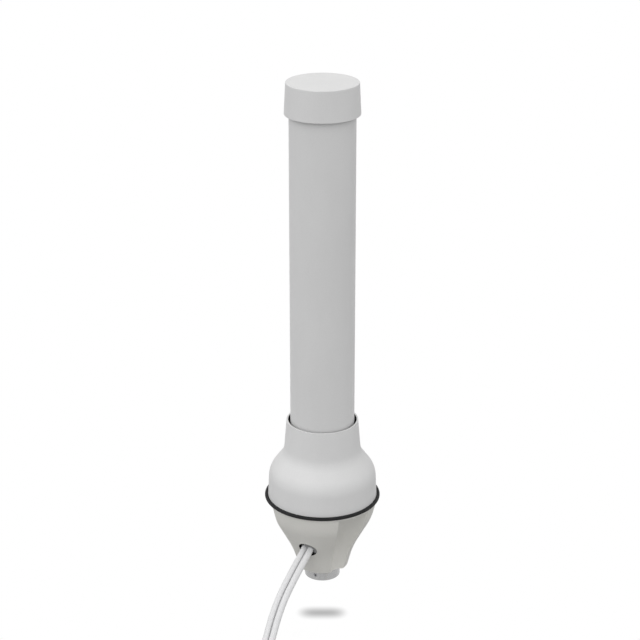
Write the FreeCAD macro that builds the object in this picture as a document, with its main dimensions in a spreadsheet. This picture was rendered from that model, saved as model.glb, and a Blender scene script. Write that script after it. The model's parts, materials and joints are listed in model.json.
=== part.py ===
import FreeCAD, Part

import math
import os

import Sketcher
from FreeCAD import Placement, Rotation, Vector

# Omnidirectional mast antenna, millimetres.
# Origin: centre of the mouth of the threaded socket, at the foot of the collar.
# +Z runs up the mast tube, and the cable leaves the base towards -Y.

DRIVING_SIZES = {
    # Radome tube and the cap on it.
    "tube_radius": 25.0,
    "tube_wall": 2.0,
    "cap_top_level": 406.4,
    "cap_height": 23.9,
    "cap_top_wall": 2.2,
    "cap_rim_wall": 3.36,
    "cap_roof": 2.0,
    "cap_edge_round": 0.6,
    "cap_rim_round": 0.3,
    "cap_tube_clearance": 0.1,
    "cap_ring_depth": 8.0,
    "seal_section_radius": 0.85,
    "seal_groove_clearance": 0.05,
    # Bell housing between the tube and the base.
    "neck_top_level": 136.5,
    "neck_rim_wall": 1.2,
    "neck_foot_level": 109.6,
    "neck_flare": 2.26,
    "neck_foot_round": 16.0,
    "dome_edge_level": 94.1,
    "dome_run": 11.71,
    "dome_edge_round": 20.0,
    "skirt_flare": 1.03,
    "bell_wall": 2.5,
    "dome_edge_drop_share": 0.6,
    "seat_depth": 24.0,
    "tube_seat_level": 94.0,
    "seat_clearance": 0.1,
    "lip_thickness": 3.0,
    "lip_radius": 20.5,
    "sleeve_wall": 3.0,
    "bell_boss_radius": 3.2,
    "bell_boss_length": 12.0,
    # Gasket between bell and base.
    "gasket_level": 70.3,
    "gasket_thickness": 2.0,
    "bead_radius": 1.35,
    "bead_stand_off": 0.95,
    "gasket_overhang": 0.2,
    "gasket_tab_radius": 3.4,
    # Base housing.
    "base_foot_level": 10.0,
    "base_foot_wall": 6.25,
    "base_foot_round": 1.0,
    "base_waist_level": 27.4,
    "base_foot_taper": 4.65,
    "base_waist_round": 75.0,
    "base_shoulder_level": 54.6,
    "base_skirt_taper": 3.35,
    "base_shoulder_round": 40.0,
    "base_rim_step": 0.3,
    "base_rim_height": 2.3,
    "base_rim_round": 0.3,
    "base_wall": 3.0,
    "base_floor_level": 30.0,
    "flute_count": 3,
    "flute_low_radius": 11.4,
    "flute_low_depth": 3.45,
    "flute_middle_radius": 12.2,
    "flute_sweep": 2.85,
    "flute_high_radius": 20.7,
    "flute_high_depth": 7.3,
    "flute_wall": 2.2,
    "flute_overrun": 0.5,
    "crease_round": 1.0,
    "cable_hole_radius": 7.4,
    "cable_hole_level": 35.3,
    "cable_hole_reach": 12.0,
    # Threaded collar.
    "collar_wall": 2.35,
    "collar_edge_round": 0.5,
    "collar_clearance": 0.1,
    "socket_radius": 11.75,
    "socket_depth": 26.0,
    "collar_flange_width": 4.6,
    "collar_flange_thickness": 3.0,
    # Screws.
    "thread_clearance": 0.05,
    "passage_clearance": 0.2,
    "flange_screw_radius": 1.5,
    "flange_screw_head_radius": 2.75,
    "flange_screw_head_height": 1.8,
    "flange_screw_length": 12.0,
    "flange_screw_inset": 4.5,
    "collar_screw_radius": 1.25,
    "collar_screw_head_radius": 2.2,
    "collar_screw_head_height": 1.5,
    "collar_screw_length": 11.0,
    "collar_screw_offset": 2.5,
    "clamp_screw_radius": 1.25,
    "clamp_screw_head_radius": 2.2,
    "clamp_screw_head_height": 1.5,
    "clamp_screw_length": 8.0,
    "clamp_screw_offset": 8.2,
    "hole_run_out": 1.5,
    "head_socket_share": 0.5,
    "head_socket_depth_share": 0.6,
    "grub_radius": 1.5,
    "grub_length": 2.0,
    "grub_level": 4.4,
    "grub_sink": 0.3,
    "grub_socket_radius": 0.87,
    "grub_socket_depth": 1.0,
    "grub_hole_flare": 0.15,
    # Board, its carrier, its spacers and the radiating plates.
    "carrier_clearance": 0.1,
    "carrier_thickness": 5.0,
    "carrier_slot_depth": 3.0,
    "tongue_width": 22.0,
    "tongue_thickness": 3.0,
    "tongue_length": 34.0,
    "board_width": 36.0,
    "board_thickness": 1.6,
    "board_top_level": 396.0,
    "board_clearance": 0.1,
    "spacer_clearance": 0.2,
    "spacer_thickness": 4.0,
    "spacer_first_level": 150.0,
    "spacer_top_inset": 21.0,
    "spacer_count": 4,
    "spacer_notch_width": 10.0,
    "spacer_notch_depth": 3.4,
    "plate_thickness": 0.35,
    "plate_width": 13.0,
    "plate_length": 27.0,
    "plate_gap": 2.0,
    "dipole_pitch": 62.0,
    "feed_strip_width": 2.4,
    "lower_array_level": 135.0,
    "upper_array_level": 272.0,
    # Cables, clamp and connectors.
    "cable_radius": 2.55,
    "cable_spacing": 5.2,
    "cable_drop": 12.0,
    "feed_radius": 1.2,
    "clamp_level": 68.0,
    "clamp_height": 8.0,
    "clamp_cover": 1.2,
    "clamp_gap": 0.3,
    "coil_floor_level": -37.2,
    "coil_path_radius": 43.6,
    "coil_turns": 8.5,
    "coil_layers": 4,
    "coil_centre_x": 37.0,
    "coil_centre_y": -145.0,
    "tie_thickness": 0.6,
    "tie_angle": 16.0,
    "tie_direction": 62.0,
    "plug_axis_level": -33.1,
    "plug_start_y": -72.0,
    "plug_straight_run": 16.0,
    "plug_a_x": 66.5,
    "plug_b_x": 78.0,
    "plug_sleeve_grip": 9.0,
    "plug_sleeve_radius": 3.3,
    "plug_stem_length": 1.5,
    "plug_stem_radius": 2.5,
    "plug_shoulder_radius": 3.4,
    "plug_shoulder_length": 4.0,
    "plug_neck_radius": 2.4,
    "plug_neck_length": 2.0,
    "plug_collar_radius": 2.75,
    "plug_collar_length": 1.5,
    "plug_barrel_radius": 2.3,
    "plug_barrel_length": 4.0,
    "plug_bore_radius": 1.9,
    "plug_pin_radius": 0.46,
    "plug_pin_length": 13.0,
    "plug_fit": 0.03,
    "nut_radius": 4.6,
    "nut_length": 7.5,
    "nut_thread_radius": 2.95,
    "nut_lip_length": 1.6,
    "nut_end_play": 0.2,
    "nut_chamfer": 0.5,
    "nut_running_fit": 0.05,
}


class Size:
    """A size as an expression on the sheet, with its present value."""

    def __init__(self, text, value):
        self.text = text
        self.value = value

    def __add__(self, other):
        other = as_size(other)
        return Size(f"({self.text} + {other.text})", self.value + other.value)

    def __sub__(self, other):
        other = as_size(other)
        return Size(f"({self.text} - {other.text})", self.value - other.value)

    def __mul__(self, other):
        other = as_size(other)
        return Size(f"({self.text} * {other.text})", self.value * other.value)

    def __truediv__(self, other):
        other = as_size(other)
        return Size(f"({self.text} / {other.text})", self.value / other.value)

    def __neg__(self):
        return Size(f"(-1 * {self.text})", -self.value)


def as_size(number):
    """A plain number as a Size; a Size stays as it is."""
    if isinstance(number, Size):
        return number
    return Size(f"({float(number)})", float(number))


def cosine(angle):
    angle = as_size(angle)
    return Size(f"cos({angle.text})", math.cos(math.radians(angle.value)))


def sine(angle):
    angle = as_size(angle)
    return Size(f"sin({angle.text})", math.sin(math.radians(angle.value)))


class Sheet:
    """The spreadsheet of driving sizes, one aliased cell each."""

    def __init__(self, document, sizes):
        cells = document.addObject("Spreadsheet::Sheet", "Sizes")
        for row, (name, number) in enumerate(sizes.items(), start=1):
            cells.set(f"A{row}", str(number))
            cells.setAlias(f"A{row}", name)
        document.recompute()
        for name in sizes:
            value = float(cells.get(name))
            setattr(self, name, Size(f"Sizes.{name}", value))


doc = FreeCAD.newDocument("antenna")
S = Sheet(doc, DRIVING_SIZES)
ORIGIN = (0, 0, 0)
UP = Rotation()
ALONG_MINUS_Y = Rotation(Vector(1, 0, 0), 90)
ALONG_PLUS_Y = Rotation(Vector(1, 0, 0), -90)


# --- Document objects ---------------------------------------------------------


def bind(thing, prop, size):
    """Ties a property to its expression."""
    thing.setExpression(prop, as_size(size).text)


def place(thing, position=ORIGIN, rotation=UP):
    """Puts a thing at a bound position with a fixed rotation."""
    x, y, z = (as_size(value) for value in position)
    thing.Placement = Placement(Vector(x.value, y.value, z.value), rotation)
    for letter, size in zip("xyz", (x, y, z)):
        if "Sizes." in size.text:
            bind(thing, f"Placement.Base.{letter}", size)
    return thing


def cylinder(name, radius, height, position=ORIGIN, rotation=UP):
    thing = doc.addObject("Part::Cylinder", name)
    bind(thing, "Radius", radius)
    bind(thing, "Height", height)
    return place(thing, position, rotation)


def cone(name, low_radius, high_radius, height, position=ORIGIN, rotation=UP):
    thing = doc.addObject("Part::Cone", name)
    bind(thing, "Radius1", low_radius)
    bind(thing, "Radius2", high_radius)
    bind(thing, "Height", height)
    return place(thing, position, rotation)


def block(name, low, span, rotation=UP):
    """A box from its low corner and its three side lengths."""
    thing = doc.addObject("Part::Box", name)
    for prop, size in zip(("Length", "Width", "Height"), span):
        bind(thing, prop, size)
    return place(thing, low, rotation)


def hexagon(name, radius, height, position=ORIGIN, rotation=UP):
    """A six-sided prism, its corners on the radius."""
    thing = doc.addObject("Part::Prism", name)
    thing.Polygon = 6
    bind(thing, "Circumradius", radius)
    bind(thing, "Height", height)
    return place(thing, position, rotation)


def fuse(name, shapes):
    thing = doc.addObject("Part::MultiFuse", name)
    thing.Shapes = shapes
    return thing


def cut(name, base, tools):
    thing = doc.addObject("Part::Cut", name)
    thing.Base = base
    thing.Tool = tools[0] if len(tools) == 1 else fuse(f"{name}_tools", tools)
    return thing


def group(name, things):
    thing = doc.addObject("Part::Compound", name)
    thing.Links = things
    return thing


def polar(radius, angle):
    """The x and y of a point at a radius and an angle from +X, in degrees."""
    return as_size(radius) * cosine(angle), as_size(radius) * sine(angle)


def around(count, first_angle):
    """Angles of count evenly spaced things, the first at first_angle."""
    step = 360.0 / count
    return [first_angle + index * step for index in range(count)]


# --- Bodies and sketches ------------------------------------------------------


def new_body(name):
    return doc.addObject("PartDesign::Body", name)


def new_sketch(body, name, role, level=None):
    """A sketch on one of the body's own origin planes, lifted to a level."""
    sketch = body.newObject("Sketcher::SketchObject", name)
    plane = next(item for item in body.Origin.OriginFeatures if item.Role == role)
    sketch.AttachmentSupport = [(plane, "")]
    sketch.MapMode = "FlatFace"
    if level is not None:
        bind(sketch, "AttachmentOffset.Base.z", level)
    return sketch


def fix_point(sketch, item, end, x, y):
    """Holds a point of the sketch at bound coordinates."""
    for kind, size in (("DistanceX", x), ("DistanceY", y)):
        size = as_size(size)
        index = sketch.addConstraint(Sketcher.Constraint(kind, item, end, size.value))
        sketch.setExpression(f"Constraints[{index}]", size.text)


def draw_circle(sketch, x, y, radius):
    x, y, radius = as_size(x), as_size(y), as_size(radius)
    middle = Vector(x.value, y.value, 0)
    item = sketch.addGeometry(Part.Circle(middle, Vector(0, 0, 1), radius.value), False)
    index = sketch.addConstraint(Sketcher.Constraint("Radius", item, radius.value))
    sketch.setExpression(f"Constraints[{index}]", radius.text)
    fix_point(sketch, item, 3, x, y)


def corner_arc(before, corner, after, radius):
    """The tangent arc in a corner: middle, both touch points, and its turn."""
    back = (before - corner).normalize()
    ahead = (after - corner).normalize()
    half = back.getAngle(ahead) / 2
    reach = radius / math.tan(half)
    middle = corner + (back + ahead).normalize() * (radius / math.sin(half))
    turn = (corner - before).cross(after - corner).z
    return middle, corner + back * reach, corner + ahead * reach, turn


def draw_outline(sketch, corners):
    """A closed outline through (x, y) or (x, y, round) corners, all bound.

    A rounded corner keeps its sharp point as construction geometry, which both
    of its lines run through, and a tangent arc of the stated radius.
    """
    spots = [Vector(as_size(c[0]).value, as_size(c[1]).value, 0) for c in corners]
    count = len(corners)
    starts, ends, arcs = list(spots), list(spots), {}
    for i, corner in enumerate(corners):
        if len(corner) == 3:
            arc = corner_arc(
                spots[i - 1], spots[i], spots[(i + 1) % count], as_size(corner[2]).value
            )
            arcs[i] = arc
            ends[i], starts[i] = arc[1], arc[2]
    lines = []
    for i in range(count):
        segment = Part.LineSegment(starts[i], ends[(i + 1) % count])
        lines.append(sketch.addGeometry(segment, False))
    for i, corner in enumerate(corners):
        arriving, leaving = lines[i - 1], lines[i]
        if i not in arcs:
            join = Sketcher.Constraint("Coincident", arriving, 2, leaving, 1)
            sketch.addConstraint(join)
            fix_point(sketch, leaving, 1, corner[0], corner[1])
            continue
        middle, first, last, turn = arcs[i]
        left = turn > 0
        begin, finish = (first, last) if left else (last, first)
        circle = Part.Circle(middle, Vector(0, 0, 1), (first - middle).Length)
        curve = Part.ArcOfCircle(
            circle, circle.parameter(begin), circle.parameter(finish)
        )
        item = sketch.addGeometry(curve, False)
        sharp = sketch.addGeometry(Part.Point(spots[i]), True)
        fix_point(sketch, sharp, 1, corner[0], corner[1])
        first_end, last_end = (1, 2) if left else (2, 1)
        round_size = as_size(corner[2])
        for constraint in (
            Sketcher.Constraint("PointOnObject", sharp, 1, arriving),
            Sketcher.Constraint("PointOnObject", sharp, 1, leaving),
            Sketcher.Constraint("Tangent", arriving, 2, item, first_end),
            Sketcher.Constraint("Tangent", leaving, 1, item, last_end),
        ):
            sketch.addConstraint(constraint)
        index = sketch.addConstraint(
            Sketcher.Constraint("Radius", item, round_size.value)
        )
        sketch.setExpression(f"Constraints[{index}]", round_size.text)


def revolve(body, name, outlines, angle=360):
    """Turns closed (radius, height) outlines about the body's Z axis."""
    sketch = new_sketch(body, f"{name}_sketch", "XZ_Plane")
    for corners in outlines:
        draw_outline(sketch, corners)
    feature = body.newObject("PartDesign::Revolution", name)
    feature.Profile = sketch
    feature.ReferenceAxis = (sketch, ["V_Axis"])
    feature.Angle = 360
    if isinstance(angle, Size):
        bind(feature, "Angle", angle)
    return feature


def turned(name, corners):
    """A body that is one turned piece."""
    body = new_body(name)
    revolve(body, f"{name}_turning", [corners])
    return body


# --- Radii and levels that pieces share ---------------------------------------

seal_groove_depth = (S.seal_section_radius + S.seal_groove_clearance) * 2
neck_bore = S.tube_radius + seal_groove_depth
neck_rim_radius = neck_bore + S.neck_rim_wall
neck_foot_radius = neck_rim_radius + S.neck_flare
dome_edge_radius = neck_foot_radius + S.dome_run
bell_foot_radius = dome_edge_radius + S.skirt_flare
collar_radius = S.socket_radius + S.collar_wall
collar_bore = collar_radius + S.collar_clearance
base_foot_radius = collar_bore + S.base_foot_wall
base_waist_radius = base_foot_radius + S.base_foot_taper
base_rim_radius = bell_foot_radius + S.base_rim_step
base_shoulder_radius = base_rim_radius - S.base_skirt_taper
base_slope = (base_shoulder_radius - base_waist_radius) / (
    S.base_shoulder_level - S.base_waist_level
)
bead_circle_radius = base_rim_radius + S.bead_stand_off
flange_screw_circle = base_rim_radius - S.flange_screw_inset
collar_screw_circle = collar_radius + S.collar_screw_offset
cap_rim_level = S.cap_top_level - S.cap_height
cap_ceiling = S.cap_top_level - S.cap_roof
seat_top_level = S.tube_seat_level + S.seat_depth
gasket_top = S.gasket_level + S.gasket_thickness
rim_underside = S.gasket_level - S.base_rim_height


# --- Screws -------------------------------------------------------------------


def screw(name, radius, head_radius, head_height, length, position, rotation):
    """A cap screw from under its head, pointing along the rotated +Z."""
    shank = cylinder(f"{name}_shank", radius, length, position, rotation)
    back = rotation.multVec(Vector(0, 0, 1))
    x, y, z = (as_size(value) for value in position)
    top = (
        x - as_size(head_height) * round(back.x),
        y - as_size(head_height) * round(back.y),
        z - as_size(head_height) * round(back.z),
    )
    head = cylinder(f"{name}_head", head_radius, head_height, top, rotation)
    socket_radius = as_size(head_radius) * S.head_socket_share
    socket_depth = as_size(head_height) * S.head_socket_depth_share
    socket = hexagon(f"{name}_socket", socket_radius, socket_depth, top, rotation)
    return cut(name, fuse(f"{name}_blank", [shank, head]), [socket])


SCREW_DOWN = Rotation(Vector(1, 0, 0), 180)
FLUTE_ANGLES = around(int(S.flute_count.value), 90.0)
LOBE_ANGLES = around(int(S.flute_count.value), -90.0)


def flange_screws():
    """Screws up through the base's ledges into the bell's bosses."""
    screws = []
    for index, angle in enumerate(FLUTE_ANGLES, start=1):
        x, y = polar(flange_screw_circle, angle)
        screws.append(
            screw(
                f"flange_screw_{index}",
                S.flange_screw_radius,
                S.flange_screw_head_radius,
                S.flange_screw_head_height,
                S.flange_screw_length,
                (x, y, rim_underside),
                UP,
            )
        )
    return group("flange_screws", screws)


def collar_screws():
    """Screws down through the collar's flange into the floor of the base."""
    screws = []
    level = S.base_floor_level + S.collar_flange_thickness
    for index, angle in enumerate(LOBE_ANGLES, start=1):
        x, y = polar(collar_screw_circle, angle)
        screws.append(
            screw(
                f"collar_screw_{index}",
                S.collar_screw_radius,
                S.collar_screw_head_radius,
                S.collar_screw_head_height,
                S.collar_screw_length,
                (x, y, level),
                SCREW_DOWN,
            )
        )
    return group("collar_screws", screws)


# --- Radome -------------------------------------------------------------------

seal_path_radius = S.tube_radius + S.seal_groove_clearance + S.seal_section_radius


def top_cap():
    bore = S.tube_radius + S.cap_tube_clearance
    groove = S.tube_radius + seal_groove_depth
    groove_low = cap_rim_level + S.cap_ring_depth
    return turned(
        "top_cap",
        [
            (0, cap_ceiling),
            (bore, cap_ceiling),
            (bore, groove_low + seal_groove_depth),
            (groove, groove_low + seal_groove_depth),
            (groove, groove_low),
            (bore, groove_low),
            (bore, cap_rim_level),
            (bore + S.cap_rim_wall, cap_rim_level, S.cap_rim_round),
            (bore + S.cap_top_wall, S.cap_top_level, S.cap_edge_round),
            (0, S.cap_top_level),
        ],
    )


def seal_ring(name, level):
    """A round-section ring that sits against the outside of the tube."""
    ring = doc.addObject("Part::Torus", name)
    bind(ring, "Radius1", seal_path_radius)
    bind(ring, "Radius2", S.seal_section_radius)
    return place(ring, (0, 0, level))


def radome_tube():
    inner = S.tube_radius - S.tube_wall
    length = cap_ceiling - S.cap_tube_clearance - S.tube_seat_level
    outside = cylinder("tube_outside", S.tube_radius, length, (0, 0, S.tube_seat_level))
    inside = cylinder("tube_inside", inner, length, (0, 0, S.tube_seat_level))
    return cut("radome_tube", outside, [inside])


# --- Bell housing -------------------------------------------------------------


def bell_housing():
    """The dome with its neck, tube seat, tube lip and screw bosses."""
    seat = S.tube_radius + S.seat_clearance
    lip_low = S.tube_seat_level - S.lip_thickness
    sleeve = seat + S.sleeve_wall
    inner_foot = bell_foot_radius - S.bell_wall
    inner_edge = dome_edge_radius - S.bell_wall
    inner_edge_level = S.dome_edge_level - S.bell_wall * S.dome_edge_drop_share
    slope = (S.neck_foot_level - S.dome_edge_level) / S.dome_run
    pocket_level = inner_edge_level + (inner_edge - sleeve) * slope
    body = new_body("bell_housing")
    revolve(
        body,
        "bell_turning",
        [
            [
                (bell_foot_radius, gasket_top),
                (dome_edge_radius, S.dome_edge_level, S.dome_edge_round),
                (neck_foot_radius, S.neck_foot_level, S.neck_foot_round),
                (neck_rim_radius, S.neck_top_level),
                (neck_bore, S.neck_top_level),
                (neck_bore, seat_top_level),
                (seat, seat_top_level),
                (seat, S.tube_seat_level),
                (S.lip_radius, S.tube_seat_level),
                (S.lip_radius, lip_low),
                (sleeve, lip_low),
                (sleeve, pocket_level),
                (inner_edge, inner_edge_level, S.dome_edge_round - S.bell_wall),
                (inner_foot, gasket_top),
            ]
        ],
    )
    boss_sketch = new_sketch(body, "boss_sketch", "XY_Plane", gasket_top)
    draw_circle(boss_sketch, 0, flange_screw_circle, S.bell_boss_radius)
    boss = body.newObject("PartDesign::Pad", "boss")
    boss.Profile = boss_sketch
    bind(boss, "Length", S.bell_boss_length)
    hole_sketch = new_sketch(body, "boss_hole_sketch", "XY_Plane", gasket_top)
    hole_radius = S.flange_screw_radius + S.thread_clearance
    draw_circle(hole_sketch, 0, flange_screw_circle, hole_radius)
    hole = body.newObject("PartDesign::Pocket", "boss_hole")
    hole.Profile = hole_sketch
    hole.Reversed = True
    screw_reach = S.flange_screw_length - S.base_rim_height - S.gasket_thickness
    bind(hole, "Length", screw_reach + S.hole_run_out)
    bosses = body.newObject("PartDesign::PolarPattern", "bosses")
    bosses.Originals = [boss, hole]
    bosses.Axis = (boss_sketch, ["N_Axis"])
    bosses.Angle = 360
    bind(bosses, "Occurrences", S.flute_count)
    body.Tip = bosses
    return body


# --- Gasket -------------------------------------------------------------------


def flange_gasket():
    """A flat web with three eyelets, and the round bead that shows outside."""
    inner = bell_foot_radius - S.bell_wall - S.gasket_overhang
    level = (0, 0, S.gasket_level)
    web = cut(
        "gasket_web",
        cylinder("gasket_disc", bead_circle_radius, S.gasket_thickness, level),
        [cylinder("gasket_opening", inner, S.gasket_thickness, level)],
    )
    bead = doc.addObject("Part::Torus", "gasket_bead")
    bind(bead, "Radius1", bead_circle_radius)
    bind(bead, "Radius2", S.bead_radius)
    place(bead, (0, 0, S.gasket_level + S.gasket_thickness / 2))
    tabs, holes = [], []
    hole_radius = S.flange_screw_radius + S.passage_clearance
    for index, angle in enumerate(FLUTE_ANGLES, start=1):
        x, y = polar(flange_screw_circle, angle)
        spot = (x, y, S.gasket_level)
        tab = cylinder(f"gasket_tab_{index}", S.gasket_tab_radius, S.gasket_thickness, spot)
        tabs.append(tab)
        holes.append(
            cylinder(f"gasket_hole_{index}", hole_radius, S.gasket_thickness, spot)
        )
    return cut("flange_gasket", fuse("gasket_blank", [web, bead] + tabs), holes)


# --- Base housing -------------------------------------------------------------

flute_low_level = S.base_foot_level - S.flute_overrun
flute_low_centre = base_foot_radius - S.flute_low_depth + S.flute_low_radius
flute_high_centre = base_rim_radius - S.flute_high_depth + S.flute_high_radius
flute_middle_level = (flute_low_level + rim_underside) / 2
flute_middle_floor = (
    base_foot_radius - S.flute_low_depth + base_rim_radius - S.flute_high_depth
) / 2 - S.flute_sweep
flute_middle_centre = flute_middle_floor + S.flute_middle_radius


def flute_section(level, low, high):
    """A flute's radius or centre distance at a level, on the line of its ends."""
    share = (level - flute_low_level) / (rim_underside - flute_low_level)
    return low + (high - low) * share


def lobed_body(name, inset, foot_level, top_level):
    """The base's outer form, or with an inset the hollow inside its wall.

    A turned bell form, scooped by three flutes that stand nearly upright at their
    feet and sweep out at their tops. The walls are measured level, so the hollow
    has its radii moved in and its scoops' radii moved out.
    """
    is_outside = as_size(inset).value == 0
    corners = [(0, foot_level)]
    if is_outside:
        corners.append((base_foot_radius, foot_level, S.base_foot_round))
        corners.append((base_waist_radius, S.base_waist_level, S.base_waist_round))
    else:
        floor_radius = base_waist_radius + base_slope * (
            foot_level - S.base_waist_level
        )
        corners.append((floor_radius - inset, foot_level))
    shoulder = base_shoulder_radius - inset
    corners.append((shoulder, S.base_shoulder_level, S.base_shoulder_round))
    corners.append((base_rim_radius - inset, rim_underside))
    if is_outside:
        corners.append((base_rim_radius, top_level, S.base_rim_round))
    else:
        corners.append((base_rim_radius - inset, top_level))
    corners.append((0, top_level))
    body = new_body(name)
    revolve(body, f"{name}_turning", [corners])
    flute_top = rim_underside if is_outside else top_level + S.flute_overrun
    flute_wall = 0 if is_outside else S.flute_wall
    middle = (flute_middle_level, flute_middle_centre, S.flute_middle_radius)
    stations = [
        ("low", flute_low_level, flute_low_centre, S.flute_low_radius),
        ("middle", *middle),
        (
            "high",
            flute_top,
            flute_section(flute_top, flute_low_centre, flute_high_centre),
            flute_section(flute_top, S.flute_low_radius, S.flute_high_radius),
        ),
    ]
    sections = []
    for place_name, level, centre, radius in stations:
        sketch = new_sketch(body, f"{name}_flute_{place_name}", "XY_Plane", level)
        draw_circle(sketch, 0, centre, radius + flute_wall)
        sections.append(sketch)
    scoop = body.newObject("PartDesign::SubtractiveLoft", f"{name}_flute")
    scoop.Profile = sections[0]
    scoop.Sections = sections[1:]
    scoop.Ruled = False
    flutes = body.newObject("PartDesign::PolarPattern", f"{name}_flutes")
    flutes.Originals = [scoop]
    flutes.Axis = (sections[0], ["N_Axis"])
    flutes.Angle = 360
    bind(flutes, "Occurrences", S.flute_count)
    body.Tip = flutes
    return body


def rounded_creases(name, body):
    """Rounds the edges where the flutes meet the outside of the base."""
    doc.recompute()
    creases = []
    for index, edge in enumerate(body.Shape.Edges, start=1):
        box = edge.BoundBox
        is_crease = edge.Curve.TypeId == "Part::GeomBSplineCurve"
        if is_crease and box.ZLength > S.base_foot_round.value / 2:
            creases.append((index, S.crease_round.value, S.crease_round.value))
    rounding = doc.addObject("Part::Fillet", name)
    rounding.Base = body
    rounding.Edges = creases
    return rounding


def base_housing():
    outside = rounded_creases(
        "base_outside",
        lobed_body("base_form", 0, S.base_foot_level, S.gasket_level),
    )
    hollow = lobed_body("base_hollow", S.base_wall, S.base_floor_level, S.gasket_level)
    tools = [hollow]
    tools.append(cylinder("collar_bore", collar_bore, S.base_floor_level))
    tools.append(cable_hole())
    ledge_hole = S.flange_screw_radius + S.passage_clearance
    for index, angle in enumerate(FLUTE_ANGLES, start=1):
        x, y = polar(flange_screw_circle, angle)
        tools.append(
            cylinder(
                f"ledge_hole_{index}",
                ledge_hole,
                S.base_rim_height,
                (x, y, rim_underside),
            )
        )
    pilot = S.collar_screw_radius + S.thread_clearance
    pilot_depth = (
        S.collar_screw_length - S.collar_flange_thickness + S.hole_run_out
    )
    for index, angle in enumerate(LOBE_ANGLES, start=1):
        x, y = polar(collar_screw_circle, angle)
        low = S.base_floor_level - pilot_depth
        tools.append(cylinder(f"pilot_hole_{index}", pilot, pilot_depth, (x, y, low)))
    return cut("base_housing", outside, tools)


def cable_hole():
    """A round hole, square to the sloping wall between waist and shoulder."""
    tilt = Size(
        f"atan({base_slope.text})", math.degrees(math.atan(base_slope.value))
    )
    wall_radius = base_waist_radius + base_slope * (
        S.cable_hole_level - S.base_waist_level
    )
    back_y = -(wall_radius - S.cable_hole_reach * cosine(tilt))
    back_z = S.cable_hole_level + S.cable_hole_reach * sine(tilt)
    hole = cylinder(
        "cable_hole",
        S.cable_hole_radius,
        S.cable_hole_reach * 2,
        (0, back_y, back_z),
        Rotation(Vector(1, 0, 0), 90 + tilt.value),
    )
    hole.setExpression("Placement.Rotation.Angle", f"90 deg + {tilt.text}")
    return hole


# --- Threaded collar ----------------------------------------------------------


def thread_collar():
    """The socket for the mast thread, with its flange inside the base."""
    flange_top = S.base_floor_level + S.collar_flange_thickness
    body = turned(
        "collar_turning",
        [
            (S.socket_radius, 0),
            (collar_radius, 0, S.collar_edge_round),
            (collar_radius, S.base_floor_level),
            (collar_radius + S.collar_flange_width, S.base_floor_level),
            (collar_radius + S.collar_flange_width, flange_top),
            (0, flange_top),
            (0, S.socket_depth),
            (S.socket_radius, S.socket_depth),
        ],
    )
    tools = [
        cylinder(
            "grub_hole",
            S.grub_radius + S.thread_clearance,
            collar_radius,
            (0, 0, S.grub_level),
            ALONG_MINUS_Y,
        ),
        cone(
            "grub_hole_flare",
            S.grub_radius + S.thread_clearance,
            S.grub_radius + S.thread_clearance + S.grub_hole_flare,
            S.grub_hole_flare,
            (0, S.grub_hole_flare - collar_radius, S.grub_level),
            ALONG_MINUS_Y,
        ),
    ]
    hole = S.collar_screw_radius + S.passage_clearance
    for index, angle in enumerate(LOBE_ANGLES, start=1):
        x, y = polar(collar_screw_circle, angle)
        tools.append(
            cylinder(
                f"collar_hole_{index}",
                hole,
                S.collar_flange_thickness,
                (x, y, S.base_floor_level),
            )
        )
    return cut("thread_collar", body, tools)


def grub_screw():
    """The screw that locks the mast thread, backed out clear of the socket."""
    outer_end = S.grub_sink - collar_radius
    inner_end = outer_end + S.grub_length
    body = cylinder(
        "grub_body", S.grub_radius, S.grub_length, (0, inner_end, S.grub_level),
        ALONG_MINUS_Y,
    )
    socket = hexagon(
        "grub_socket",
        S.grub_socket_radius,
        S.grub_socket_depth,
        (0, outer_end + S.grub_socket_depth, S.grub_level),
        ALONG_MINUS_Y,
    )
    return cut("grub_screw", body, [socket])


# --- Board, carrier and spacers -----------------------------------------------

tongue_face_y = S.cable_radius - S.cable_drop
board_low_level = S.tube_seat_level + S.carrier_thickness - S.carrier_slot_depth


def board_slot(name, low_level, height):
    """A through slot that the board slides into."""
    width = S.board_width + S.board_clearance * 2
    thickness = S.board_thickness + S.board_clearance * 2
    low = (-(width / 2), -(thickness / 2), low_level)
    return block(name, low, (width, thickness, height))


def board_carrier():
    """The plug at the foot of the tube, with a tongue for the cable clamp."""
    inner = S.tube_radius - S.tube_wall - S.carrier_clearance
    plug = cylinder(
        "carrier_plug", inner, S.carrier_thickness, (0, 0, S.tube_seat_level)
    )
    tongue = block(
        "carrier_tongue",
        (-(S.tongue_width / 2), tongue_face_y, S.tube_seat_level - S.tongue_length),
        (S.tongue_width, S.tongue_thickness, S.tongue_length),
    )
    tools = [board_slot("carrier_slot", board_low_level, S.carrier_slot_depth)]
    for side, sign in (("a", -1), ("b", 1)):
        x = S.cable_spacing / 2 * sign
        tools.append(
            cylinder(
                f"feed_hole_{side}",
                S.feed_radius + S.passage_clearance,
                S.carrier_thickness,
                (x, -S.cable_drop, S.tube_seat_level),
            )
        )
        hole_start = (S.clamp_screw_offset * sign, tongue_face_y, clamp_middle)
        tools.append(
            cylinder(
                f"tongue_hole_{side}",
                S.clamp_screw_radius + S.thread_clearance,
                S.tongue_thickness,
                hole_start,
                ALONG_PLUS_Y,
            )
        )
    return cut("board_carrier", fuse("carrier_blank", [plug, tongue]), tools)


clamp_middle = S.clamp_level + S.clamp_height / 2
clamp_front_y = -(S.cable_drop + S.cable_radius + S.clamp_cover)


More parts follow.
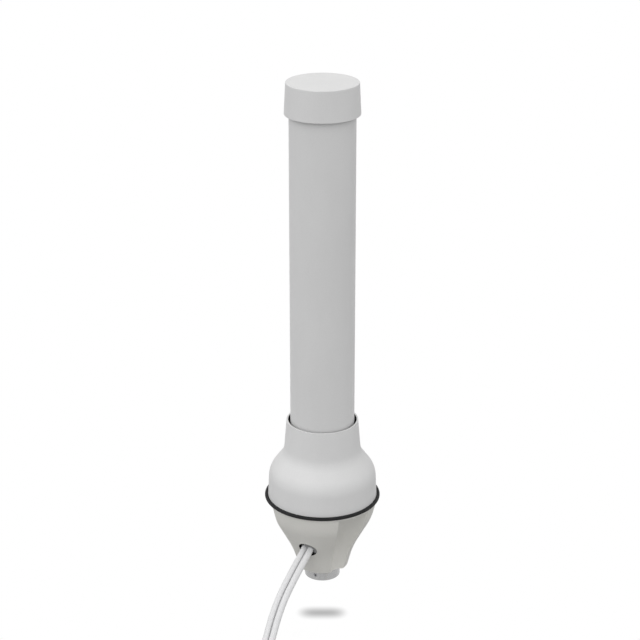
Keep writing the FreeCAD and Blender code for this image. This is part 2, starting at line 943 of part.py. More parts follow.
def cable_clamp():
    """The bar that presses both cables on to the tongue."""
    depth = tongue_face_y - S.clamp_gap - clamp_front_y
    bar = block(
        "clamp_bar",
        (-(S.tongue_width / 2), clamp_front_y, S.clamp_level),
        (S.tongue_width, depth, S.clamp_height),
    )
    tools = []
    for side, sign in (("a", -1), ("b", 1)):
        x = S.cable_spacing / 2 * sign
        spot = (x, -S.cable_drop, S.clamp_level)
        tools.append(
            cylinder(f"clamp_groove_{side}", S.cable_radius, S.clamp_height, spot)
        )
        hole_start = (S.clamp_screw_offset * sign, clamp_front_y, clamp_middle)
        tools.append(
            cylinder(
                f"clamp_hole_{side}",
                S.clamp_screw_radius + S.passage_clearance,
                depth,
                hole_start,
                ALONG_PLUS_Y,
            )
        )
    half = S.cable_spacing / 2
    tools.append(
        block(
            "clamp_mouth",
            (-half - S.cable_radius, -S.cable_drop, S.clamp_level),
            ((half + S.cable_radius) * 2, S.cable_drop, S.clamp_height),
        )
    )
    return cut("cable_clamp", bar, tools)


def clamp_screws():
    screws = []
    for side, sign in (("a", -1), ("b", 1)):
        screws.append(
            screw(
                f"clamp_screw_{side}",
                S.clamp_screw_radius,
                S.clamp_screw_head_radius,
                S.clamp_screw_head_height,
                S.clamp_screw_length,
                (S.clamp_screw_offset * sign, clamp_front_y, clamp_middle),
                ALONG_PLUS_Y,
            )
        )
    return group("clamp_screws", screws)


def antenna_board():
    return block(
        "antenna_board",
        (-(S.board_width / 2), -(S.board_thickness / 2), board_low_level),
        (S.board_width, S.board_thickness, S.board_top_level - board_low_level),
    )


def dipole_array(name, level):
    """Two stacked dipoles and their feed strip, on the back of the board."""
    face = S.board_thickness / 2
    height = S.dipole_pitch + S.plate_length * 2 + S.plate_gap
    strip_low = level + S.plate_length
    strip_height = height - S.plate_length * 2
    pieces = [
        block(
            f"{name}_strip",
            (-(S.feed_strip_width / 2), face, strip_low - S.plate_gap),
            (S.feed_strip_width, S.plate_thickness, strip_height + S.plate_gap * 2),
        )
    ]
    for index in range(2):
        middle = level + S.plate_length + S.plate_gap / 2 + S.dipole_pitch * index
        for half_name, low in (
            ("low", middle - S.plate_gap / 2 - S.plate_length),
            ("high", middle + S.plate_gap / 2),
        ):
            pieces.append(
                block(
                    f"{name}_plate_{index + 1}_{half_name}",
                    (-(S.plate_width / 2), face, low),
                    (S.plate_width, S.plate_thickness, S.plate_length),
                )
            )
    return fuse(name, pieces)


def spacer_disc(number):
    """A disc that centres the board in the tube, notched for the feed leads."""
    name = f"spacer_disc_{number}"
    last_level = S.board_top_level - S.spacer_top_inset
    pitch = (last_level - S.spacer_first_level) / (S.spacer_count - 1)
    level = S.spacer_first_level + pitch * (number - 1)
    radius = S.tube_radius - S.tube_wall - S.spacer_clearance
    disc = cylinder(f"{name}_blank", radius, S.spacer_thickness, (0, 0, level))
    notch_back = S.board_thickness / 2 + S.plate_thickness + S.board_clearance
    front = -(S.board_thickness / 2 + S.spacer_notch_depth)
    notch = block(
        f"{name}_notch",
        (-(S.spacer_notch_width / 2), front, level),
        (S.spacer_notch_width, S.spacer_notch_depth, S.spacer_thickness),
    )
    relief = block(
        f"{name}_relief",
        (-(S.plate_width / 2) - S.board_clearance, 0, level),
        (S.plate_width + S.board_clearance * 2, notch_back, S.spacer_thickness),
    )
    slot = board_slot(f"{name}_slot", level, S.spacer_thickness)
    return cut(name, disc, [slot, notch, relief])


# --- Cables -------------------------------------------------------------------

# Route of the bonded pair's middle from its clamp to its coil: x, y, z and twist.
# A twist of 0 lays the pair level, 90 stands cable b on cable a.
LEAD_ROUTE = [
    (0.0, -12.0, 84.0, 0),
    (0.0, -12.0, 41.0, 0),
    (0.0, -58.0, 26.0, 0),
    (0.0, -84.5, 11.0, 0),
    (0.0, -108.0, -16.0, 20),
    (-4.2, -127.0, -29.5, 60),
    (-6.6, -145.0, -32.0, 90),
]
# The free ends, from the coil towards their plugs: x, y, z.
TAIL_ROUTES = {
    "a": [(80.6, -145.0, -24.2), (80.6, -127.0, -25.2), (74.0, -106.0, -34.2)],
    "b": [(80.6, -145.0, -19.0), (80.6, -127.0, -19.6), (80.4, -106.0, -31.0)],
}
# The thin feed leads, from the ends of the cables on to the board: y, z.
FEED_ROUTE = [(-12.0, 84.0), (-12.0, 108.0), (-2.0, 124.0)]
FEED_END_LEVELS = {"a": 168.0, "b": 305.0}
ARC_SHARE = 0.45
VOLUME_TOLERANCE = 0.01


def twin_route(side):
    """One cable's points beside the middle of the bonded pair."""
    sign = -1 if side == "a" else 1
    offset = S.cable_spacing.value / 2 * sign
    points = []
    last = len(LEAD_ROUTE) - 1
    for index, (x, y, z, twist) in enumerate(LEAD_ROUTE):
        before = LEAD_ROUTE[max(index - 1, 0)]
        after = LEAD_ROUTE[min(index + 1, last)]
        along = (Vector(*after[:3]) - Vector(*before[:3])).normalize()
        level = (Vector(1, 0, 0) - along * along.x).normalize()
        upward = along.cross(level)
        turn = math.radians(twist)
        shift = level * math.cos(turn) + upward * math.sin(turn)
        points.append(Vector(x, y, z) + shift * offset)
    return points


def rounded_wire(name, points):
    """Straight runs joined by the largest tangent arcs that they leave room for."""
    edges, radii = [], []
    position = points[0]
    for before, corner, after in zip(points, points[1:], points[2:]):
        back, ahead = before - corner, after - corner
        shorter = min(back.Length, ahead.Length)
        back.normalize()
        ahead.normalize()
        half_turn = (math.pi - back.getAngle(ahead)) / 2
        reach = ARC_SHARE * shorter
        radius = reach / math.tan(half_turn)
        start, end = corner + back * reach, corner + ahead * reach
        depth = radius / math.cos(half_turn) - radius
        middle = corner + (back + ahead).normalize() * depth
        edges.append(Part.LineSegment(position, start).toShape())
        edges.append(Part.Arc(start, middle, end).toShape())
        position = end
        radii.append(round(radius, 1))
    edges.append(Part.LineSegment(position, points[-1]).toShape())
    print(f"{name}: bend radii {radii}")
    return Part.Wire(edges)


def cord(name, points, radius):
    """A round cord swept along its rounded route."""
    path = rounded_wire(name, points)
    first_run = (points[1] - points[0]).normalize()
    section = Part.Wire([Part.Circle(points[0], first_run, radius).toShape()])
    shape = path.makePipeShell([section], True, False)
    expected = math.pi * radius**2 * path.Length
    error = abs(shape.Volume / expected - 1)
    print(f"{name}: length {path.Length:.1f}, volume off by {error:.2%}")
    if error > VOLUME_TOLERANCE:
        raise ValueError(f"{name} isn't as thick or long as its route")
    thing = doc.addObject("Part::Feature", name)
    thing.Shape = shape
    thing.Placement = Placement()
    return thing


def tail_route(side, plug_x):
    """One free end's points, its last run straight into the plug."""
    points = [Vector(*point) for point in TAIL_ROUTES[side]]
    for run in (S.plug_straight_run.value, 0):
        y = S.plug_start_y.value - run
        points.append(Vector(plug_x, y, S.plug_axis_level.value))
    return points


def cables():
    """The stretches of both cables that aren't coiled, and their feed leads."""
    things = []
    for side, sign, plug_x in (("a", -1, S.plug_a_x), ("b", 1, S.plug_b_x)):
        x = S.cable_spacing.value / 2 * sign
        radius = S.cable_radius.value
        things.append(cord(f"cable_lead_{side}", twin_route(side), radius))
        tail = tail_route(side, plug_x.value)
        things.append(cord(f"cable_tail_{side}", tail, radius))
        board_face = FEED_ROUTE[-1][0]
        feed_route = FEED_ROUTE + [(board_face, FEED_END_LEVELS[side])]
        feed = [Vector(x, y, z) for y, z in feed_route]
        things.append(cord(f"feed_lead_{side}", feed, S.feed_radius.value))
    return things


coil_centre = (S.coil_centre_x, S.coil_centre_y, S.coil_floor_level)
coil_outer = S.coil_path_radius + S.cable_spacing / 2
coil_inner = S.coil_path_radius - S.cable_spacing * (S.coil_turns / 2 + 0.5)
coil_height = S.cable_spacing * S.coil_layers


def cable_coil():
    """The outer form of the coil: two tiers of the pair, wound on edge."""
    outside = cylinder("coil_outside", coil_outer, coil_height, coil_centre)
    eye = cylinder("coil_eye", coil_inner, coil_height, coil_centre)
    return cut("cable_coil", outside, [eye])


def coil_tie():
    """The strap round the coil's turns."""
    inner, outer = coil_inner - S.tie_thickness, coil_outer + S.tie_thickness
    top = coil_height + S.tie_thickness
    body = new_body("coil_tie")
    revolve(
        body,
        "tie_turning",
        [
            [
                (inner, -S.tie_thickness),
                (outer, -S.tie_thickness),
                (outer, top),
                (inner, top),
            ],
            [
                (coil_inner, 0),
                (coil_outer, 0),
                (coil_outer, coil_height),
                (coil_inner, coil_height),
            ],
        ],
        S.tie_angle,
    )
    place(body, coil_centre, Rotation(Vector(0, 0, 1), S.tie_direction.value))
    bind(body, "Placement.Rotation.Angle", S.tie_direction)
    return body


# --- Coaxial plugs ------------------------------------------------------------

plug_neck_start = S.plug_stem_length + S.plug_shoulder_length
plug_neck_end = plug_neck_start + S.plug_neck_length
plug_collar_end = plug_neck_end + S.plug_collar_length
plug_barrel_end = plug_collar_end + S.plug_barrel_length
nut_start = plug_neck_start + S.nut_end_play


def plug_piece(name, corners, x):
    """A turned piece of a plug, its cable end towards -Y."""
    return place(
        turned(name, corners), (x, S.plug_start_y, S.plug_axis_level), ALONG_PLUS_Y
    )


def plug(side, x):
    """A screw-on coaxial plug: crimp sleeve, body, insulator, pin and nut."""
    bore = S.plug_bore_radius
    sleeve = plug_piece(
        f"plug_sleeve_{side}",
        [
            (S.cable_radius, -S.plug_sleeve_grip),
            (S.plug_sleeve_radius, -S.plug_sleeve_grip),
            (S.plug_sleeve_radius, S.plug_stem_length),
            (S.cable_radius, S.plug_stem_length),
        ],
        x,
    )
    body = plug_piece(
        f"plug_body_{side}",
        [
            (bore, 0),
            (S.plug_stem_radius, 0),
            (S.plug_stem_radius, S.plug_stem_length),
            (S.plug_shoulder_radius, S.plug_stem_length),
            (S.plug_shoulder_radius, plug_neck_start),
            (S.plug_neck_radius, plug_neck_start),
            (S.plug_neck_radius, plug_neck_end),
            (S.plug_collar_radius, plug_neck_end),
            (S.plug_collar_radius, plug_collar_end),
            (S.plug_barrel_radius, plug_collar_end),
            (S.plug_barrel_radius, plug_barrel_end),
            (bore, plug_barrel_end),
        ],
        x,
    )
    core = bore - S.plug_fit
    pin_hole = S.plug_pin_radius + S.plug_fit
    insulator = plug_piece(
        f"plug_insulator_{side}",
        [(pin_hole, 0), (core, 0), (core, plug_collar_end), (pin_hole, plug_collar_end)],
        x,
    )
    pin = plug_piece(
        f"plug_pin_{side}",
        [
            (0, 0),
            (S.plug_pin_radius, 0),
            (S.plug_pin_radius, S.plug_pin_length - S.plug_pin_radius),
            (S.plug_pin_radius / 2, S.plug_pin_length),
            (0, S.plug_pin_length),
        ],
        x,
    )
    return [sleeve, body, insulator, pin, plug_nut(side, x)]


def plug_nut(side, x):
    """The hexagonal coupling nut, free to turn on the body's neck."""
    name = f"plug_nut_{side}"
    nut_end = nut_start + S.nut_length
    thread_start = nut_start + S.nut_lip_length
    lip = S.plug_neck_radius + S.nut_running_fit
    narrow = S.nut_radius - S.nut_chamfer
    rounds = plug_piece(
        f"{name}_rounds",
        [
            (lip, nut_start),
            (narrow, nut_start),
            (S.nut_radius, nut_start + S.nut_chamfer),
            (S.nut_radius, nut_end - S.nut_chamfer),
            (narrow, nut_end),
            (S.nut_thread_radius, nut_end),
            (S.nut_thread_radius, thread_start),
            (lip, thread_start),
        ],
        x,
    )
    hex_y = S.plug_start_y + nut_start
    flats = hexagon(
        f"{name}_flats",
        S.nut_radius,
        S.nut_length,
        (x, hex_y, S.plug_axis_level),
        ALONG_PLUS_Y,
    )
    nut = doc.addObject("Part::Common", name)
    nut.Base = flats
    nut.Tool = rounds
    return nut


# --- Assembly -----------------------------------------------------------------


def build():
    """Makes every sub-part and returns them in the order of their files."""
    parts = [
        top_cap(),
        seal_ring(
            "cap_seal_ring",
            cap_rim_level + S.cap_ring_depth + seal_groove_depth / 2,
        ),
        radome_tube(),
        bell_housing(),
        seal_ring("tube_seal_ring", seat_top_level + seal_groove_depth / 2),
        flange_gasket(),
        base_housing(),
        flange_screws(),
        thread_collar(),
        collar_screws(),
        grub_screw(),
        board_carrier(),
        cable_clamp(),
        clamp_screws(),
        antenna_board(),
        dipole_array("lower_dipoles", S.lower_array_level),
        dipole_array("upper_dipoles", S.upper_array_level),
    ]
    spacer_count = int(S.spacer_count.value)
    parts += [spacer_disc(number) for number in range(1, spacer_count + 1)]
    parts += cables()
    parts += [cable_coil(), coil_tie()]
    parts += plug("a", S.plug_a_x)
    parts += plug("b", S.plug_b_x)
    return parts


def check_and_write(parts):
    """Stops at any failed object, then writes one STEP file per sub-part."""
    doc.recompute()
    failed = [
        item.Name
        for item in doc.Objects
        if {"Invalid", "Error"} & set(item.State)
    ]
    for part in parts:
        shape = part.Shape
        if shape.isNull() or not shape.isValid() or not shape.Solids:
            failed.append(part.Name)
    if failed:
        raise RuntimeError("failed: " + ", ".join(failed))
    os.makedirs("parts", exist_ok=True)
    for part in parts:
        part.Label = part.Name
        part.Shape.exportStep(f"parts/{part.Name}.step")
        box = part.Shape.BoundBox
        print(
            f"{part.Name}: {len(part.Shape.Solids)} solids, "
            f"{part.Shape.Volume:.1f} mm3, z {box.ZMin:.2f} to {box.ZMax:.2f}"
        )


check_and_write(build())
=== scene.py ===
"""Looks of an omnidirectional mast antenna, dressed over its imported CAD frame.

Lengths are metres in the frame of the CAD model: the origin is the centre of the
threaded socket's mouth, +Z runs up the mast tube and the cable leaves towards -Y.
"""

import json
import logging
import math
from dataclasses import dataclass, field
from enum import Enum
from typing import Callable, Iterable, Optional, Sequence, Union

import bmesh
import bpy
from mathutils import Matrix, Vector

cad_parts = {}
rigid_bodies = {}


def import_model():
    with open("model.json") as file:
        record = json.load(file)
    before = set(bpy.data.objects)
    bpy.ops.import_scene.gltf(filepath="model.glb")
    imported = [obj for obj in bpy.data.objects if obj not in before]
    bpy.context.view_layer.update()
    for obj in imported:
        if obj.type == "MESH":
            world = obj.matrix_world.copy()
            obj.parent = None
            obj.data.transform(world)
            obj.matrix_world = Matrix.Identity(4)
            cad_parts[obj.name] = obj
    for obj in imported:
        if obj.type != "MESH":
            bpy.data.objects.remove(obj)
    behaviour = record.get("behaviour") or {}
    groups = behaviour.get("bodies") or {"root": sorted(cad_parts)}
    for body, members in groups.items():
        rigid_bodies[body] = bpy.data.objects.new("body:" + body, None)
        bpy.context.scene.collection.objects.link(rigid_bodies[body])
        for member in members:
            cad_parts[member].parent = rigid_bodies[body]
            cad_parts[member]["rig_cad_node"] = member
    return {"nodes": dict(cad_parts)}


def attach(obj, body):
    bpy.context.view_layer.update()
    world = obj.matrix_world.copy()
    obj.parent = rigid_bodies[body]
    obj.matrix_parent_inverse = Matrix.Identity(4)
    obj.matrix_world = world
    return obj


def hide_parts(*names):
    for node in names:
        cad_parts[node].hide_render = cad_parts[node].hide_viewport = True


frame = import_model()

MM = 0.001
TURN = 2.0 * math.pi
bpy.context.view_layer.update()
LOG = logging.getLogger("antenna")

Colour = tuple[float, float, float, float]
Source = Union[float, Sequence[float], bpy.types.NodeSocket]
Ring = Callable[[float], tuple[float, float]]

# The levels that smooth noise mostly stays between.
NOISE_SPAN = (0.3, 0.7)
STRAP_MAP = "strap"
UP_Y = (0.0, 1.0, 0.0)
COIL_CENTRE = (0.037, -0.145)
GRUB_LEVEL = 0.0044


class Side(Enum):
    """The two cables of the bonded pair, with the side that each lies on."""

    A = ("a", -1.0)
    B = ("b", 1.0)

    @property
    def letter(self) -> str:
        """The letter that ends this side's piece names."""
        return self.value[0]

    @property
    def sign(self) -> float:
        """-1 on the -X side of the pair and +1 on the other."""
        return self.value[1]


class Effect(Enum):
    """Surface effects that several finishes share, one node group each."""

    GRAIN = "mould_grain"
    DRIFT = "tone_drift"
    WEAR = "edge_wear"
    DUST = "settled_dust"
    WEAVE = "thread_weave"
    TURNING = "turning_marks"
    SCUFFS = "fine_scuffs"
    # Painted shade: darkens a colour where another surface stands close.
    CREVICE = "crevice_dirt"


def from_srgb(red: int, green: int, blue: int) -> Colour:
    """Turns a colour as it is seen on a screen into the linear one that shaders take.

    Args:
        red: Red from 0 to 255.
        green: Green from 0 to 255.
        blue: Blue from 0 to 255.

    Returns:
        The linear colour with an alpha of 1.
    """
    def linear(level: int) -> float:
        """One channel, by the sRGB curve."""
        share = level / 255.0
        return share / 12.92 if share <= 0.04045 else ((share + 0.055) / 1.055) ** 2.4

    return (linear(red), linear(green), linear(blue), 1.0)


WHITE = from_srgb(228, 228, 228)
# Near-black painted shade for hollows and linings that the light does not reach.
PAINTED_SHADE = from_srgb(16, 16, 17)
DUST_TONE = from_srgb(205, 201, 192)
LIGHT = (1.0, 1.0, 1.0, 1.0)


@dataclass(frozen=True)
class Spindle:
    """The axis that a turned piece is made round."""

    centre: tuple[float, float, float] = (0.0, 0.0, 0.0)
    along: tuple[float, float, float] = (0.0, 0.0, 1.0)

    def matrix(self) -> Matrix:
        """Moves a piece made round +Z on to this axis, its +X kept level.

        Returns:
            The matrix.
        """
        along = Vector(self.along)
        side = Vector((1.0, 0.0, 0.0))
        turn = Matrix((side, along.cross(side), along)).transposed()
        return Matrix.Translation(self.centre) @ turn.to_4x4()


# --- Node trees ---------------------------------------------------------------


class Graph:
    """A node tree with short calls that add, set and link its nodes."""

    def __init__(self, tree: bpy.types.NodeTree) -> None:
        """Wraps a tree, which may hold nodes already."""
        self.tree = tree

    def add(
        self, kind: str, inputs: Optional[dict[Union[str, int], Source]] = None,
        **settings: object,
    ) -> bpy.types.Node:
        """Adds a node.

        Args:
            kind: The node's type name.
            inputs: What each input socket takes, by name or index.
            settings: The node's own properties.

        Returns:
            The new node.
        """
        node = self.tree.nodes.new(kind)
        for name, value in settings.items():
            setattr(node, name, value)
        for name, source in (inputs or {}).items():
            self.feed(node.inputs[name], source)
        return node

    def feed(self, socket: bpy.types.NodeSocket, source: Source) -> None:
        """Links a socket to an output, or sets it to a plain value.

        Args:
            socket: The input that is fed.
            source: An output or a plain value.
        """
        if isinstance(source, bpy.types.NodeSocket):
            self.tree.links.new(source, socket)
        else:
            socket.default_value = source

    def math(self, operation: str, *sources: Source) -> bpy.types.NodeSocket:
        """The result of a Math node fed with up to three sources."""
        inputs = dict(enumerate(sources))
        return self.add("ShaderNodeMath", inputs, operation=operation).outputs[0]

    def vector(self, operation: str, *sources: Source) -> bpy.types.NodeSocket:
        """The result of a Vector Math node: a value for a product or a length.

        Args:
            operation: What the node does.
            sources: What its vectors take.

        Returns:
            The value or the vector.
        """
        inputs = dict(enumerate(sources))
        node = self.add("ShaderNodeVectorMath", inputs, operation=operation)
        plain = operation in ("DOT_PRODUCT", "LENGTH")
        return node.outputs["Value" if plain else "Vector"]

    def remap(
        self, value: Source, low: float, high: float, to_low: Source, to_high: Source,
        curve: str = "SMOOTHSTEP",
    ) -> bpy.types.NodeSocket:
        """Runs a value from one range to another.

        Args:
            value: What is mapped.
            low: The input that gives to_low.
            high: The input that gives to_high.
            to_low: The output at the low end.
            to_high: The output at the high end.
            curve: How it runs between the ends.

        Returns:
            The mapped value.
        """
        inputs = {
            "Value": value, "From Min": low, "From Max": high,
            "To Min": to_low, "To Max": to_high,
        }
        node = self.add("ShaderNodeMapRange", inputs, interpolation_type=curve)
        return node.outputs["Result"]

    def noise(
        self, where: Source, scale: Source, detail: float = 2.0, roughness: float = 0.5
    ) -> bpy.types.NodeSocket:
        """Smooth noise from 0 to 1.

        Args:
            where: The coordinates that it is read at.
            scale: Its features per metre.
            detail: How many finer layers it has.
            roughness: How strong the finer layers are.

        Returns:
            The noise value.
        """
        inputs = {
            "Vector": where, "Scale": scale, "Detail": detail, "Roughness": roughness,
        }
        return self.add("ShaderNodeTexNoise", inputs).outputs["Fac"]

    def mix(
        self, share: Source, first: Source, second: Source, blend: str = "MIX"
    ) -> bpy.types.NodeSocket:
        """Mixes two colours.

        Args:
            share: How much of the second colour there is.
            first: The colour at a share of 0.
            second: The colour at a share of 1.
            blend: How the two are joined.

        Returns:
            The mixed colour.
        """
        inputs = {0: share, 6: first, 7: second}
        node = self.add("ShaderNodeMix", inputs, data_type="RGBA", blend_type=blend)
        return node.outputs[2]

    def scaled(self, source: Source, factor: Source) -> bpy.types.NodeSocket:
        """A vector times a value."""
        inputs = {0: source, "Scale": factor}
        return self.add("ShaderNodeVectorMath", inputs, operation="SCALE").outputs["Vector"]

    def openness(self, reach: Source, samples: int) -> bpy.types.NodeSocket:
        """How free the point is of other surfaces within a reach, from 0 to 1."""
        inputs = {"Distance": reach}
        return self.add("ShaderNodeAmbientOcclusion", inputs, samples=samples).outputs["AO"]

    def object_place(self) -> bpy.types.NodeSocket:
        """The point on the surface, in metres, in its object's own frame."""
        return self.add("ShaderNodeTexCoord").outputs["Object"]

    def from_axis(
        self, centre: Source, axis: Source
    ) -> tuple[bpy.types.NodeSocket, bpy.types.NodeSocket]:
        """Where the point on the surface is, seen from an axis.

        Args:
            centre: A point of the axis.
            axis: Its direction, one long.

        Returns:
            The distance along the axis and the distance from it.
        """
        reach = self.vector("SUBTRACT", self.object_place(), centre)
        along = self.vector("DOT_PRODUCT", reach, axis)
        foot = self.scaled(axis, along)
        return along, self.vector("LENGTH", self.vector("SUBTRACT", reach, foot))


class EffectLibrary:
    """Builds each shared effect's node group once and hands it out."""

    def __init__(self) -> None:
        """Starts with no group built."""
        self.built: dict[Effect, bpy.types.NodeTree] = {}
        self.makers: dict[Effect, Callable[[], bpy.types.NodeTree]] = {
            Effect.GRAIN: self.mould_grain,
            Effect.DRIFT: self.tone_drift,
            Effect.WEAR: self.edge_wear,
            Effect.DUST: self.settled_dust,
            Effect.WEAVE: self.thread_weave,
            Effect.TURNING: self.turning_marks,
            Effect.SCUFFS: self.fine_scuffs,
            Effect.CREVICE: self.crevice_dirt,
        }

    def place(
        self, graph: Graph, effect: Effect, **inputs: Source
    ) -> bpy.types.NodeOutputs:
        """Places an effect in a material.

        Args:
            graph: The material's nodes.
            effect: Which effect.
            inputs: What its inputs take.

        Returns:
            The group node's outputs.
        """
        if effect not in self.built:
            self.built[effect] = self.makers[effect]()
        node = graph.add("ShaderNodeGroup")
        node.node_tree = self.built[effect]
        for name, source in inputs.items():
            graph.feed(node.inputs[name], source)
        return node.outputs

    def open_group(
        self, effect: Effect, **inputs: Union[float, tuple[float, ...]]
    ) -> tuple[Graph, bpy.types.NodeOutputs]:
        """Starts a group with its inputs.

        Args:
            effect: The effect, which names the group.
            inputs: Each input's default; three numbers make a vector and four a colour.

        Returns:
            The group's graph, and what its inputs give.
        """
        tree = bpy.data.node_groups.new(effect.value, "ShaderNodeTree")
        for name, default in inputs.items():
            count = len(default) if isinstance(default, tuple) else 1
            kind = {1: "Float", 3: "Vector", 4: "Color"}[count]
            socket = tree.interface.new_socket(
                name, in_out="INPUT", socket_type=f"NodeSocket{kind}"
            )
            socket.default_value = default
        graph = Graph(tree)
        return graph, graph.add("NodeGroupInput").outputs

    def close_group(
        self, graph: Graph, **outputs: bpy.types.NodeSocket
    ) -> bpy.types.NodeTree:
        """Ends a group with its outputs.

        Args:
            graph: The group's graph.
            outputs: What each output puts out, a value or a colour.

        Returns:
            The finished group.
        """
        for name, source in outputs.items():
            kind = "Color" if source.type == "RGBA" else "Float"
            graph.tree.interface.new_socket(
                name, in_out="OUTPUT", socket_type=f"NodeSocket{kind}"
            )
        graph.add("NodeGroupOutput", outputs)
        return graph.tree

    def mould_grain(self) -> bpy.types.NodeTree:
        """The spark-etched grain that a steel mould leaves on plastic.

        Returns:
            The group.
        """
        graph, given = self.open_group(Effect.GRAIN, Scale=1500.0)
        where, scale = graph.object_place(), given["Scale"]
        fine = graph.noise(where, scale, detail=3.0, roughness=0.6)
        coarser, broad = (graph.math("MULTIPLY", scale, share) for share in (0.7, 0.09))
        pits = graph.add(
            "ShaderNodeTexVoronoi", {"Vector": where, "Scale": coarser, "Smoothness": 1.0},
            feature="SMOOTH_F1",
        ).outputs["Distance"]
        height = graph.math("MULTIPLY_ADD", pits, 0.45, graph.math("MULTIPLY", fine, 0.55))
        mottle = graph.noise(where, broad)
        return self.close_group(graph, Height=height, Mottle=mottle)

    def tone_drift(self) -> bpy.types.NodeTree:
        """Slow drift of tone over a piece, as flow and handling leave it.

        Returns:
            The group.
        """
        graph, given = self.open_group(
            Effect.DRIFT, Colour=(0.8, 0.8, 0.8, 1.0), Amount=0.03, Scale=35.0, Stipple=0.0
        )
        long_way = graph.vector("MULTIPLY", graph.object_place(), (1.0, 1.0, 0.45))
        drift = graph.noise(long_way, given["Scale"], detail=4.0, roughness=0.55)
        dark = graph.math("SUBTRACT", 1.0, given["Amount"])
        slow = graph.remap(drift, *NOISE_SPAN, dark, 1.0)
        specks = graph.noise(graph.object_place(), 1300.0, detail=1.0)
        spotted = graph.math("MULTIPLY", specks, given["Stipple"])
        tone = graph.math("MULTIPLY", slow, graph.math("SUBTRACT", 1.0, spotted))
        grey = graph.add("ShaderNodeCombineColor", {0: tone, 1: tone, 2: tone}).outputs[0]
        colour = graph.mix(1.0, given["Colour"], grey, "MULTIPLY")
        return self.close_group(graph, Colour=colour)

    def edge_wear(self) -> bpy.types.NodeTree:
        """A mask that is strongest where an outer edge has been rubbed.

        Returns:
            The group.
        """
        graph, given = self.open_group(Effect.WEAR, Radius=0.0005, Strength=1.0)
        soft = graph.add("ShaderNodeBevel", {"Radius": given["Radius"]}, samples=4)
        true = graph.add("ShaderNodeNewGeometry").outputs["Normal"]
        bend = graph.vector("DOT_PRODUCT", soft.outputs["Normal"], true)
        edge = graph.remap(graph.math("SUBTRACT", 1.0, bend), 0.01, 0.2, 0.0, 1.0)
        patches = graph.noise(graph.object_place(), 420.0, detail=4.0, roughness=0.7)
        broken = graph.remap(patches, 0.38, 0.62, 0.2, 1.0)
        rubbed = graph.math("MULTIPLY", edge, broken)
        mask = graph.math("MULTIPLY", rubbed, given["Strength"])
        return self.close_group(graph, Mask=graph.math("MINIMUM", mask, 1.0))

    def settled_dust(self) -> bpy.types.NodeTree:
        """A thin film that lies on faces which look up.

        Returns:
            The group.
        """
        graph, given = self.open_group(Effect.DUST, Amount=0.1, Scale=260.0)
        up = graph.add("ShaderNodeNewGeometry").outputs["Normal"]
        level = graph.vector("DOT_PRODUCT", up, (0.0, 0.0, 1.0))
        lying = graph.remap(level, 0.25, 0.95, 0.0, 1.0)
        where = graph.object_place()
        specks = graph.noise(where, given["Scale"], detail=5.0, roughness=0.65)
        film = graph.math("MULTIPLY", lying, graph.remap(specks, 0.35, 0.7, 0.25, 1.0))
        return self.close_group(graph, Mask=graph.math("MULTIPLY", film, given["Amount"]))

    def thread_weave(self) -> bpy.types.NodeTree:
        """Crossed threads, over and under each other, across two coordinates.

        Returns:
            The group.
        """
        graph, given = self.open_group(Effect.WEAVE, Vector=(0.0, 0.0, 0.0), Pitch=0.0006)
        cells = graph.scaled(given["Vector"], graph.math("DIVIDE", math.pi, given["Pitch"]))
        split = graph.add("ShaderNodeSeparateXYZ", {0: cells}).outputs
        along, across = graph.math("SINE", split["X"]), graph.math("SINE", split["Y"])
        warp, weft = graph.math("ABSOLUTE", across), graph.math("ABSOLUTE", along)
        over = graph.remap(graph.math("MULTIPLY", along, across), -0.25, 0.25, 0.0, 1.0)
        height = graph.add("ShaderNodeMix", {0: over, 2: warp, 3: weft}, data_type="FLOAT")
        return self.close_group(graph, Height=height.outputs[0], Tone=over)

    def turning_marks(self) -> bpy.types.NodeTree:
        """Fine rings that a lathe tool leaves round an axis.

        Returns:
            The group.
        """
        graph, given = self.open_group(
            Effect.TURNING, Centre=(0.0, 0.0, 0.0), Axis=(0.0, 0.0, 1.0), Scale=3000.0
        )
        along, radius = graph.from_axis(given["Centre"], given["Axis"])
        spot = graph.add("ShaderNodeCombineXYZ", {0: along, 1: radius}).outputs[0]
        rings = graph.noise(spot, given["Scale"], roughness=0.6)
        return self.close_group(graph, Height=rings)

    def fine_scuffs(self) -> bpy.types.NodeTree:
        """Short hair scratches in two crossing directions.

        Returns:
            The group.
        """
        graph, given = self.open_group(Effect.SCUFFS, Scale=120.0, Amount=0.3)
        where, masks = graph.object_place(), []
        for turn, stretch in ((0.5, (9.0, 1.0, 1.0)), (-0.8, (1.0, 8.0, 1.4))):
            turned = graph.add(
                "ShaderNodeVectorRotate", {"Vector": where, "Angle": turn},
                rotation_type="X_AXIS",
            ).outputs[0]
            drawn = graph.vector("MULTIPLY", turned, stretch)
            lines = graph.noise(drawn, given["Scale"], detail=3.0, roughness=0.75)
            masks.append(graph.remap(lines, 0.63, 0.72, 0.0, 1.0))
        both = graph.math("MAXIMUM", *masks)
        return self.close_group(graph, Mask=graph.math("MULTIPLY", both, given["Amount"]))

    def crevice_dirt(self) -> bpy.types.NodeTree:
        """A painted shade mask, strongest where another surface stands close by.

        Returns:
            The group.
        """
        graph, given = self.open_group(Effect.CREVICE, Reach=0.005, Amount=0.5)
        free = graph.openness(given["Reach"], 8)
        mask = graph.remap(free, 0.3, 1.0, given["Amount"], 0.0)
        return self.close_group(graph, Mask=mask)


EFFECTS = EffectLibrary()


# --- Finishes -----------------------------------------------------------------


